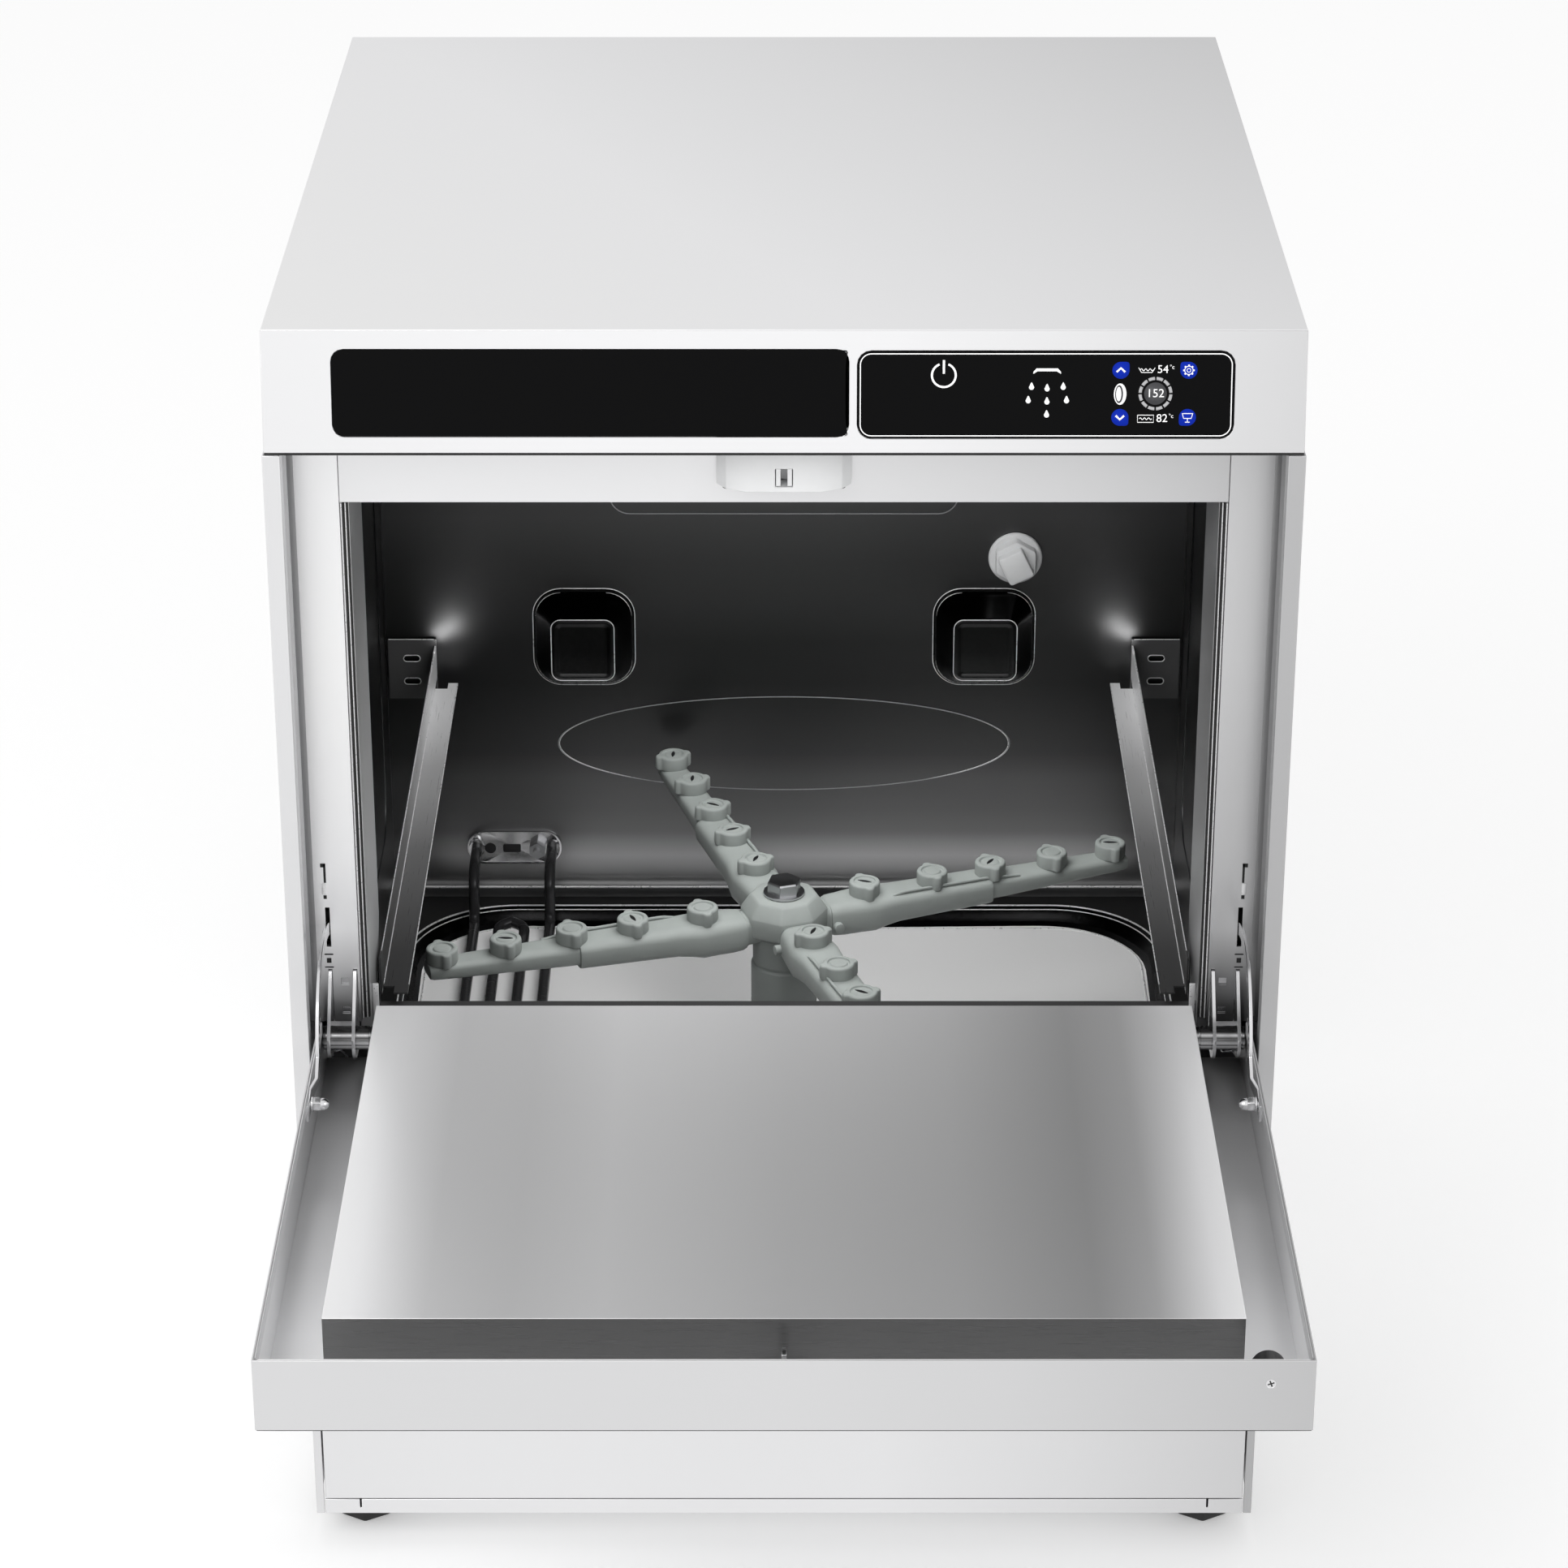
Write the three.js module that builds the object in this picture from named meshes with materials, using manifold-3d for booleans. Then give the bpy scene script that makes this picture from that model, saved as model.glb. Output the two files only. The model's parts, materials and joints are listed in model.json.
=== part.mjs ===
// Front-loading glass washer: double-skin cabinet, drop-down door on spring-balanced
// hinges, wash chamber with tank, heater and two rotating wash arms.
//
// Millimetres, +Z up. Every piece is drawn in the cabinet frame: X to the right,
// Y back from the cabinet's front plane, Z up from the floor. The last group shifts
// that frame so that the origin is under the middle of the machine with its door open.

import * as THREE from 'three';
import { mergeVertices } from 'three/addons/utils/BufferGeometryUtils.js';
import Module from 'manifold-3d';

const wasm = await Module();
wasm.setup();

// ---------------------------------------------------------------- driving dimensions

const SHEET = 1.2;                 // cabinet sheet thickness
const GAP = 0.3;                   // working gap between neighbouring pieces

const CABINET = { halfWidth: 300, depth: 621.5, height: 820, feet: 22.7 };
const HOOD = { halfWidth: 298.8, bottom: 750, lean: 11.4 };
const PANEL = { top: 748.1, flange: 10.2, lowFlange: 5.1, back: 619.9 };
const SERVICE = { halfWidth: 294.3, bottom: 34, top: 321.5 };

const OPENING = { halfWidth: 261.7, inner: 256.4, bottom: 356, top: 701.4, face: 46 };
const RETURN_BACK = 125;           // how far the jamb's inner flange runs into the chamber
const CHAMBER = { halfWidth: 290, back: 590, top: 745 };
const TANK = { ledge: 176.6, floor: 165, recessBack: 561, recessHalf: 273, corner: 77 };
const SILL = { front: 60, top: 345, depth: 34 };

const DOOR = { halfWidth: 286, reach: 364.5, under: 325, rim: 369.3, heel: 54.6 };
const LINER = { halfWidth: 252, front: -323.6, back: 39.7 };
const HINGE = { y: 28.8, z: 353.8, radius: 7.35 };
const LINK = { x: 280, width: 8, boltY: -68, boltZ: 361, ratio: 0.12, slotZ: 420.5 };
const SLOT = { halfWidth: 1.4, bottom: 408, top: 435 };
const FINS = [264.6, 279.8];
const SPRING = { radius: 6, anchorZ: 140 };

const RAIL = { web: 253, top: 376, track: 352, width: 16, front: 92, back: 588 };
const ARM = { y: 320, level: 299, reach: 252, first: 19.5, upperLevel: 676, upperFirst: 24 };
const NOZZLES = [58.5, 108, 151, 197, 241];     // distances of the jets from the arm's axis
const HUB = { radius: 30, below: 18.4, crown: 9 };
const COLUMN = { radius: 22.5, shoulder: 262, neck: 20.5, bore: 17 };
const FOOT = { x: 272, frontY: 42, rearY: 580, radius: 20 };
const BOSS = { x: 145.3, z: 382, base: [72, 74, 20], top: [45, 47, 7], depth: 26 };
const INLET = { x: 166.8, z: 444.5, radius: 19.5 };
const LATCH = { halfWidth: 39.5, front: 26, bottom: 715.4, top: 744.6, windowX: 5.2, windowZ: [718.6, 730] };
const MAGNET = { x: 262, z: 354.8, radius: 9.5, length: 19 };
const STRIP = { x0: -258.7, x1: 37, v0: 9.4, v1: 60, radius: 7 };
const TOUCH = { x0: 42, x1: 257.5, v0: 8.4, v1: 59.2, radius: 8 };

const POCKET = { halfWidth: 180, bottom: 45, top: 128, depth: 36 };
const PORTS = { z: 86, water: -150, lead: -60, drain: 140 };
const SUMP = { y: 216, radius: 46, depth: 30 };
const PUMP = { x: 40, y: 440, z: 84, motor: 48, length: 146, volute: 55, voluteLength: 38 };
const BOILER = { x: -265, y: 330, z: 88, radius: 52, length: 200, wall: 1.6 };
const DOSING = { x: [170, 225], y: [60, 110], z: [60, 120] };
const RISER = { x: 203, radius: 11, behind: 15.5, above: 20 };
const HEATER = { x: -200.2, z: 213, tube: 4, legs: [-227, -171.5], inner: [-209, -190] };

// ---------------------------------------------------------------- geometry helpers

/** A closed geometry as a solid that can be joined and cut. */
function solid(geometry) {
  if (!geometry.isBufferGeometry) return geometry;
  const bare = geometry.clone();
  for (const name of Object.keys(bare.attributes)) {
    if (name !== 'position') bare.deleteAttribute(name);
  }
  const merged = mergeVertices(bare, 1e-4);
  return new wasm.Manifold(new wasm.Mesh({
    numProp: 3,
    vertProperties: new Float32Array(merged.attributes.position.array),
    triVerts: new Uint32Array(merged.index.array),
  }));
}

/** A solid back as a three.js geometry. */
function geometryOf(body) {
  if (body.isBufferGeometry) return body;
  const mesh = body.getMesh();
  const geometry = new THREE.BufferGeometry();
  geometry.setAttribute('position', new THREE.BufferAttribute(mesh.vertProperties, 3));
  geometry.setIndex(new THREE.BufferAttribute(mesh.triVerts, 1));
  const split = geometry.toNonIndexed();
  split.computeVertexNormals();
  return split;
}

const join = (...bodies) => bodies.map(solid).reduce((a, b) => a.add(b));
const cut = (body, ...tools) => tools.map(solid).reduce((a, b) => a.subtract(b), solid(body));

/** The same body on the other side of the machine. */
function mirrored(body) {
  const geometry = geometryOf(body).clone();
  const source = geometry.index ? geometry.toNonIndexed() : geometry;
  const p = source.attributes.position;
  for (let i = 0; i < p.count; i += 3) {
    const [a, b, c] = [0, 1, 2].map((k) => [-p.getX(i + k), p.getY(i + k), p.getZ(i + k)]);
    p.setXYZ(i, ...a);
    p.setXYZ(i + 1, ...c);
    p.setXYZ(i + 2, ...b);
  }
  source.computeVertexNormals();
  return source;
}

const shapeOf = (points) => new THREE.Shape(points.map(([a, b]) => new THREE.Vector2(a, b)));

/** Rounded rectangle centred on (x, y). */
function roundedRect(x, y, width, height, radius) {
  const [w, h] = [width / 2 - radius, height / 2 - radius];
  const shape = new THREE.Shape();
  shape.absarc(x + w, y + h, radius, 0, Math.PI / 2);
  shape.absarc(x - w, y + h, radius, Math.PI / 2, Math.PI);
  shape.absarc(x - w, y - h, radius, Math.PI, 1.5 * Math.PI);
  shape.absarc(x + w, y - h, radius, 1.5 * Math.PI, 2 * Math.PI);
  return shape;
}

function extrude(shape, depth, curveSegments = 2) {
  return new THREE.ExtrudeGeometry(shape, { depth, bevelEnabled: false, curveSegments });
}

const AXES = {
  x: new THREE.Matrix4().makeBasis(
    new THREE.Vector3(0, 1, 0), new THREE.Vector3(0, 0, 1), new THREE.Vector3(1, 0, 0)),
  y: new THREE.Matrix4().makeBasis(
    new THREE.Vector3(1, 0, 0), new THREE.Vector3(0, 0, 1), new THREE.Vector3(0, -1, 0)),
};

/** Shape in (Y, Z), carried along X. */
const prismX = (shape, x0, x1, n) => extrude(shape, x1 - x0, n).applyMatrix4(AXES.x).translate(x0, 0, 0);
/** Shape in (X, Z), carried along Y. */
const prismY = (shape, y0, y1, n) => extrude(shape, y1 - y0, n).applyMatrix4(AXES.y).translate(0, y1, 0);
/** Shape in (X, Y), carried along Z. */
const prismZ = (shape, z0, z1, n) => extrude(shape, z1 - z0, n).translate(0, 0, z0);

function box(x0, x1, y0, y1, z0, z1) {
  return new THREE.BoxGeometry(x1 - x0, y1 - y0, z1 - z0)
    .translate((x0 + x1) / 2, (y0 + y1) / 2, (z0 + z1) / 2);
}

/** Round bar from one end to the other along axis 'x', 'y' or 'z'. */
function bar(axis, radius, from, length, sides = 16, endRadius = radius) {
  const geometry = new THREE.CylinderGeometry(endRadius, radius, length, sides).translate(0, length / 2, 0);
  if (axis === 'x') geometry.rotateZ(-Math.PI / 2);
  if (axis === 'z') geometry.rotateX(Math.PI / 2);
  return geometry.translate(...from);
}

/** Stack of closed rings, each an array of [x, y, z], closed at both ends. */
function loft(rings) {
  const count = rings[0].length;
  const positions = rings.flat(2);
  const index = [];
  for (let r = 0; r + 1 < rings.length; r += 1) {
    for (let i = 0; i < count; i += 1) {
      const [a, b] = [r * count + i, r * count + ((i + 1) % count)];
      index.push(a, b, b + count, a, b + count, a + count);
    }
  }
  const last = (rings.length - 1) * count;
  for (let i = 1; i + 1 < count; i += 1) {
    index.push(0, i + 1, i, last, last + i, last + i + 1);
  }
  const geometry = new THREE.BufferGeometry();
  geometry.setAttribute('position', new THREE.Float32BufferAttribute(positions, 3));
  geometry.setIndex(index);
  return geometry;
}

/** Tube of round section along a smooth curve through the points. */
function tube(points, radius, steps, sides = 8) {
  const path = new THREE.CatmullRomCurve3(points.map((p) => new THREE.Vector3(...p)), false, 'centripetal');
  const ring = new THREE.Shape();
  for (let i = 0; i < sides; i += 1) {
    const angle = (2 * Math.PI * i) / sides;
    const point = [radius * Math.cos(angle), radius * Math.sin(angle)];
    if (i === 0) ring.moveTo(...point); else ring.lineTo(...point);
  }
  return new THREE.ExtrudeGeometry(ring, { steps, bevelEnabled: false, extrudePath: path });
}

// ---------------------------------------------------------------- materials and the part list

function finish(color, roughness, metalness) {
  return new THREE.MeshStandardMaterial({ color, roughness, metalness });
}

const steel = finish(0xd9dada, 0.35, 0.9);
const polished = finish(0x8f9092, 0.2, 1.0);
const galvanised = finish(0xa9acae, 0.5, 0.8);
const blackGlass = finish(0x08080a, 0.08, 0.0);
const greyPlastic = finish(0xb4bab6, 0.55, 0.0);
const lightPlastic = finish(0xd4d6d6, 0.5, 0.0);
const blackPlastic = finish(0x151517, 0.6, 0.0);
const rubber = finish(0x0c0c0d, 0.8, 0.0);
const board = finish(0x1f5a38, 0.6, 0.1);

const machine = new THREE.Group();

function part(name, body, material) {
  const mesh = new THREE.Mesh(geometryOf(body), material);
  mesh.name = name;
  machine.add(mesh);
}

/** One piece on each side; the body is drawn for the right-hand side. */
function pair(name, body, material) {
  part(`${name}_right`, body, material);
  part(`${name}_left`, mirrored(body), material);
}

// ---------------------------------------------------------------- cabinet

/** Side panel: a plate whose front edge is folded in twice, narrower beside the service panel. */
function sidePanel() {
  const [out, inside] = [CABINET.halfWidth, CABINET.halfWidth - SHEET];
  const lip = out - PANEL.flange;
  const foldDepth = 12;
  const upper = shapeOf([[out, 0], [out, PANEL.back], [inside, PANEL.back], [inside, SHEET],
    [lip + SHEET, SHEET], [lip + SHEET, foldDepth], [lip, foldDepth], [lip, 0]]);
  const low = out - PANEL.lowFlange;
  const lower = shapeOf([[out, 0], [out, PANEL.back], [inside, PANEL.back], [inside, SHEET],
    [low, SHEET], [low, 0]]);
  const split = SERVICE.top + 2;
  return join(prismZ(upper, split, PANEL.top), prismZ(lower, CABINET.feet, split));
}

/** Base: floor plate with the front strip folded up from it; two slots in the strip. */
function baseFrame() {
  const stripTop = SERVICE.bottom - 0.6;
  const profile = shapeOf([[0, CABINET.feet], [CABINET.depth - 3, CABINET.feet],
    [CABINET.depth - 3, CABINET.feet + 1.5], [SHEET, CABINET.feet + 1.5], [SHEET, stripTop], [0, stripTop]]);
  const slits = [-1, 1].map((s) => box(s * 271.6 - 0.6, s * 271.6 + 0.6, -1, 3, 27, stripTop + 1));
  return cut(prismX(profile, -SERVICE.halfWidth, SERVICE.halfWidth), ...slits);
}

function foot(x, y) {
  const top = CABINET.feet - GAP;
  const pad = new THREE.CylinderGeometry(FOOT.radius, FOOT.radius - 1.5, 12, 6).rotateX(Math.PI / 2);
  const stem = bar('z', 9, [0, 0, 10], top - 10, 12);
  return join(pad.translate(0, 0, 6), stem).translate([x, y, 0]);
}

/** Back panel with a pocket in which the water and drain connections sit. */
function backPanel() {
  const [front, back] = [CABINET.depth - SHEET, CABINET.depth];
  const { halfWidth, bottom, top, depth } = POCKET;
  const plate = box(-HOOD.halfWidth, HOOD.halfWidth, front, back, CABINET.feet + 2, PANEL.top);
  const shell = box(-halfWidth, halfWidth, back - depth, back, bottom, top);
  const hollow = box(-halfWidth + SHEET, halfWidth - SHEET, back - depth + SHEET, back + 1,
    bottom + SHEET, top - SHEET);
  const holes = [[PORTS.water, 14.5], [PORTS.lead, 9], [PORTS.drain, 15]]
    .map(([x, radius]) => bar('y', radius, [x, 570, PORTS.z], 40));
  return cut(join(plate, shell), hollow, ...holes);
}

/** Front plane of the hood at height z. */
const fasciaY = (z) => (HOOD.lean * (z - HOOD.bottom)) / (CABINET.height - HOOD.bottom);

/** Hood: roof with skirts folded down at both sides and the back. */
function topCover() {
  const clear = 1.9;
  const outline = (inset, low) => shapeOf([[fasciaY(low) + clear, low],
    [fasciaY(CABINET.height) + clear, CABINET.height - inset],
    [CABINET.depth - inset, CABINET.height - inset], [CABINET.depth - inset, low]]);
  const outer = prismX(outline(0, HOOD.bottom), -HOOD.halfWidth, HOOD.halfWidth);
  const inner = prismX(outline(SHEET, HOOD.bottom - 2), -HOOD.halfWidth + SHEET, HOOD.halfWidth - SHEET);
  const frontCut = box(-HOOD.halfWidth + SHEET, HOOD.halfWidth - SHEET, -5, 30,
    HOOD.bottom - 1, CABINET.height - SHEET);
  return cut(outer, inner, frontCut);
}

const FASCIA_HEIGHT = Math.hypot(CABINET.height - HOOD.bottom, HOOD.lean);
const FASCIA_TILT = Math.PI / 2 - Math.atan2(HOOD.lean, CABINET.height - HOOD.bottom);

/** Body drawn in the fascia's own plane (x across, v up the slope, depth outwards). */
function onFascia(geometry) {
  return geometry.applyMatrix4(new THREE.Matrix4().makeRotationX(FASCIA_TILT)).translate(0, 0, HOOD.bottom);
}

function windowShape({ x0, x1, v0, v1, radius }, grow = 0) {
  return roundedRect((x0 + x1) / 2, (v0 + v1) / 2, x1 - x0 + 2 * grow, v1 - v0 + 2 * grow, radius + grow);
}

/** Sloping fascia with two windows for the glass strip and the touch panel. */
function controlFascia() {
  const plate = shapeOf([[-HOOD.halfWidth, 0], [HOOD.halfWidth, 0],
    [HOOD.halfWidth, FASCIA_HEIGHT], [-HOOD.halfWidth, FASCIA_HEIGHT]]);
  const thick = 1.5;
  const windows = [STRIP, TOUCH].map((w) => onFascia(extrude(windowShape(w, GAP), 9).translate(0, 0, -5)));
  return cut(onFascia(extrude(plate, thick).translate(0, 0, -thick)), ...windows);
}

const fasciaGlass = (place) => onFascia(extrude(windowShape(place), 2.2).translate(0, 0, -2.1));

function controlBoard() {
  const plate = box(48, 252, 22, 23.6, 757, 812);
  const chips = [[80, 14], [130, 22], [212, 30]].map(([x, w]) => box(x, x + w, 23.4, 29, 772, 772 + w));
  return join(plate, ...chips);
}

/** Removable service panel below the door. */
function servicePanel() {
  const { halfWidth, bottom, top } = SERVICE;
  const profile = shapeOf([[0, bottom], [14, bottom], [14, bottom + SHEET], [SHEET, bottom + SHEET],
    [SHEET, top - SHEET], [9, top - SHEET], [9, top], [0, top]]);
  return prismX(profile, -halfWidth + GAP, halfWidth - GAP);
}

// ---------------------------------------------------------------- front frame and chamber

/** Jamb: face strip, gasket step and the flange that runs back into the chamber. */
function jamb() {
  const { halfWidth, inner, face, bottom } = OPENING;
  const [back, step] = [face + SHEET, 4.5];
  const side = HOOD.halfWidth - 0.4;
  const outer = halfWidth + SHEET;
  const strip = shapeOf([[side, face], [halfWidth, face], [halfWidth, face + step], [outer, face + step],
    [outer, back], [side, back]]);
  const flange = shapeOf([[outer, face + step], [outer, face + step + SHEET],
    [inner + SHEET, face + step + SHEET], [inner + SHEET, RETURN_BACK],
    [inner, RETURN_BACK], [inner, face + step]]);
  const body = join(prismZ(strip, bottom, PANEL.top), prismZ(flange, SILL.top + 1, CHAMBER.top - GAP));
  const finSlots = FINS.map((x) => box(x - 1.3, x + 1.3, face - 1, back + 1, bottom - 1, 392.6));
  const squares = [384, 364].map((z) => box(268.5, 273.5, face - 1, back + 1, z - 2.5, z + 2.5));
  const linkSlot = box(LINK.x - SLOT.halfWidth, LINK.x + SLOT.halfWidth, face - 1, back + 1,
    SLOT.bottom, SLOT.top);
  const low = SILL.top - 9;
  const chamfer = shapeOf([[88, low], [RETURN_BACK + 1, low], [RETURN_BACK + 1, 392]]);
  const corner = prismX(chamfer, inner - 1, inner + 2);
  return cut(body, ...finSlots, ...squares, linkSlot, corner);
}

/** Top rail of the opening, with a hem under it. */
function topRail() {
  const { face, top } = OPENING;
  const profile = shapeOf([[face, PANEL.top], [face, top], [face + 40, top], [face + 40, top + SHEET],
    [face + SHEET, top + SHEET], [face + SHEET, PANEL.top]]);
  const half = OPENING.inner - GAP;
  const front = prismX(profile, -half, half);
  const ears = box(-OPENING.halfWidth + GAP, OPENING.halfWidth - GAP, face, face + SHEET, top, PANEL.top);
  return join(front, ears);
}

/** One pressed boss, grown or shrunk all round: a rounded frustum pointing into the chamber. */
function boss(x, grow, depth, behind) {
  const ring = ([w, h, r], y) => roundedRect(0, 0, w + grow, h + grow, r + grow / 2)
    .extractPoints(2).shape.slice(0, -1).map((p) => [x + p.x, y, BOSS.z + p.y]);
  return loft([ring(BOSS.base, CHAMBER.back + behind), ring(BOSS.base, CHAMBER.back),
    ring(BOSS.top, CHAMBER.back - depth)]);
}

/** Back wall: flat sheet with two pressed bosses and a bend into the tank ledge. */
function backWall() {
  const { back, top, halfWidth } = CHAMBER;
  const bend = 12;
  const arc = (radius) => Array.from({ length: 5 }, (_, i) => {
    const angle = (i * Math.PI) / 8;
    return [back - bend + radius * Math.cos(angle), TANK.ledge + bend - radius * Math.sin(angle)];
  });
  const profile = shapeOf([[back, top - GAP], ...arc(bend), ...arc(bend + SHEET).reverse(),
    [back + SHEET, top - GAP]]);
  const wall = prismX(profile, -halfWidth + GAP, halfWidth - GAP);
  const sides = [-BOSS.x, BOSS.x];
  const bosses = sides.map((x) => boss(x, 0, BOSS.depth, SHEET / 2));
  const hollows = sides.map((x) => boss(x, -2 * SHEET, BOSS.depth - SHEET, 3));
  const portHole = bar('y', 12, [INLET.x, back - 5, INLET.z], 12);
  const obround = prismY(roundedRect(236, 262, 14, 8, 3.9), back - 5, back + 5);
  return cut(join(wall, ...bosses), ...hollows, portHole, obround, ...heaterHoles());
}

/** Side wall of the chamber, folded in at the front behind the hinge pocket. */
function sideWall() {
  const [inside, outside] = [CHAMBER.halfWidth, CHAMBER.halfWidth + SHEET];
  const front = RETURN_BACK + 0.4;
  const edge = OPENING.inner + SHEET + GAP;
  const profile = shapeOf([[edge, front], [outside, front], [outside, CHAMBER.back - GAP],
    [inside, CHAMBER.back - GAP], [inside, front + SHEET], [edge, front + SHEET]]);
  return prismZ(profile, TANK.ledge + GAP, CHAMBER.top - GAP);
}

/** Ceiling with a shallow pressed panel round the spindle hole. */
function ceiling() {
  const plate = box(-CHAMBER.halfWidth, CHAMBER.halfWidth, OPENING.face + 6.5, CHAMBER.back + SHEET,
    CHAMBER.top, CHAMBER.top + SHEET);
  return cut(plate, bar('z', 9, [0, ARM.y, CHAMBER.top - 3], 8));
}

/** Tank: ledge all round, sloping sides and a flat floor with the strainer hole. */
function washTank() {
  const { ledge, floor, recessBack, recessHalf, corner } = TANK;
  const front = SILL.front + SHEET + GAP;
  const neck = OPENING.inner - 1;
  const shoulder = RETURN_BACK + 0.4;
  const outline = shapeOf([[-neck, front], [neck, front], [neck, shoulder], [CHAMBER.halfWidth, shoulder],
    [CHAMBER.halfWidth, CHAMBER.back - 12.5], [-CHAMBER.halfWidth, CHAMBER.back - 12.5],
    [-CHAMBER.halfWidth, shoulder], [-neck, shoulder]]);
  const ring = (inset, z) => {
    const depth = recessBack - 145;
    return roundedRect(0, recessBack - depth / 2, 2 * (recessHalf - inset), depth - 2 * inset, corner - inset)
      .extractPoints(3).shape.slice(0, -1).map((p) => [p.x, p.y, z]);
  };
  const slab = prismZ(outline, ledge - 2, ledge);
  const bowl = loft([ring(8, floor - 2), ring(-2, ledge)]);
  const hollow = loft([ring(10, floor), ring(0, ledge), ring(0, ledge + 2)]);
  const sump = bar('z', SUMP.radius, [0, SUMP.y, floor - SUMP.depth], SUMP.depth - 1, 20);
  const sumpHollow = bar('z', SUMP.radius - 1.5, [0, SUMP.y, floor - SUMP.depth + 1.5], SUMP.depth, 20);
  const outlet = bar('z', 15, [0, SUMP.y, floor - SUMP.depth - 2], 6, 16);
  return cut(join(slab, bowl, sump), hollow, sumpHollow, outlet);
}

/** Sill and front wall of the tank, carrying the front ends of the rails. */
function sill() {
  const { front, top, depth } = SILL;
  const bottom = TANK.ledge + GAP;
  const profile = shapeOf([[front, bottom], [front + SHEET, bottom], [front + SHEET, top - SHEET],
    [front + depth, top - SHEET], [front + depth, top], [front, top]]);
  return prismX(profile, -OPENING.inner + 0.6, OPENING.inner - 0.6);
}

// ---------------------------------------------------------------- chamber fittings

/** Rack rail: upright web, track flange, front stop and the bent tab at the back. */
function rackRail() {
  const { web, top, track, width, front, back } = RAIL;
  const angle = shapeOf([[web - width, track - SHEET], [web + SHEET, track - SHEET], [web + SHEET, top],
    [web, top], [web, track], [web - width, track]]);
  const body = prismY(angle, front, back);
  const tab = box(web, 288, back - SHEET, back, 334, 381);
  const rearNotch = box(web - width - 1, web - 4, back - 14, back + 1, track - 3, track + 1);
  const tongueHole = box(web - 9, web + 0.1, back - 24, back + 1, track - 3, track + 1);
  const frontNotch = box(web - 7, web + 0.1, front - 1, front + 9, track - 3, track + 1);
  const slots = [348, 366].map((z) => prismY(roundedRect(271, z, 12, 5, 2.4), back - 3, back + 3));
  return cut(join(body, tab), rearNotch, tongueHole, frontNotch, ...slots);
}

/** Rinse inlet fitting: round flange, hexagon and a square cap turned on its corner. */
function inletFitting() {
  const { back } = CHAMBER;
  const flange = bar('y', INLET.radius, [INLET.x, back - 4.3, INLET.z], 4, 24);
  const hexagon = bar('y', 17, [INLET.x, back - 12.3, INLET.z], 8.5, 6);
  const cap = prismY(roundedRect(0, 0, 19, 21, 2), back - 20.3, back - 12, 2)
    .rotateY(0.45).translate(INLET.x, 0, INLET.z - 1);
  const spigot = bar('y', 11.5, [INLET.x, back - 5, INLET.z], 18, 20);
  return join(flange, hexagon, cap, spigot);
}

const heaterHoles = () => HEATER.legs.map((x) => bar('y', 5, [x, CHAMBER.back - 5, HEATER.z], 12));

/** Heater: flange with its bolt and two tube loops that dip to the tank floor. */
function heatingElement() {
  const { x, z, tube: radius, legs, inner } = HEATER;
  const wall = CHAMBER.back - GAP;
  const flange = cut(prismY(roundedRect(x, z, 71, 27, 13), wall - 3, wall),
    prismY(roundedRect(x - 2, z - 1, 14, 7, 1), wall - 5, wall + 1),
    bar('y', 4, [x - 18, wall - 5, z - 1], 8, 12));
  const bolt = bar('y', 5, [x + 17, wall - 11, z - 1], 11, 6);
  const low = TANK.floor + 9;
  const frontY = 172;
  const middle = (inner[0] + inner[1]) / 2;
  const loops = legs.map((leg, i) => {
    const towards = inner[i] < middle ? 3 : -3;
    return tube([[leg, wall + 14, z], [leg, wall - 14, z], [leg, wall - 32, z - 4], [leg, wall - 40, z - 18],
      [leg, wall - 45, low + 8], [leg, wall - 58, low], [leg, 400, low], [leg, frontY + 20, low],
      [(leg + inner[i]) / 2, frontY, low], [inner[i], frontY + 20, low], [inner[i], 400, low],
      [inner[i], wall - 72, low], [inner[i] + towards, wall - 62, low + 3], [middle, wall - 58, low + 5]],
    radius, 34, 6);
  });
  return join(flange, bolt, ...loops);
}

/** Latch housing: a moulded block with chamfered ends and a window for the striker. */
function latchHousing() {
  const { halfWidth, front, bottom, top, windowX, windowZ } = LATCH;
  const back = OPENING.face - GAP;
  const plan = shapeOf([[-22, front], [22, front], [34, front + 6], [halfWidth, front + 14],
    [halfWidth, back], [-halfWidth, back], [-halfWidth, front + 14], [-34, front + 6]]);
  const bevel = prismX(shapeOf([[front - 1, top - 5], [front + 7, top + 1], [front - 1, top + 1]]), -50, 50);
  const pocket = box(-windowX, windowX, front - 1, back - 2, ...windowZ);
  return cut(prismZ(plan, bottom, top), bevel, pocket);
}

/** Sprung catch: a fork whose two posts stand either side of the striker. */
function latchCatch() {
  const [z0, z1] = [LATCH.windowZ[0] + 0.4, LATCH.windowZ[1] - 0.4];
  const posts = [-1, 1].map((s) => box(Math.min(s * 2, s * 4.7), Math.max(s * 2, s * 4.7), 27, 39.4, z0, z1));
  return join(...posts, box(-4.7, 4.7, 38.4, 40.2, z0, z1));
}

// ---------------------------------------------------------------- hinges, links and springs

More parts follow.
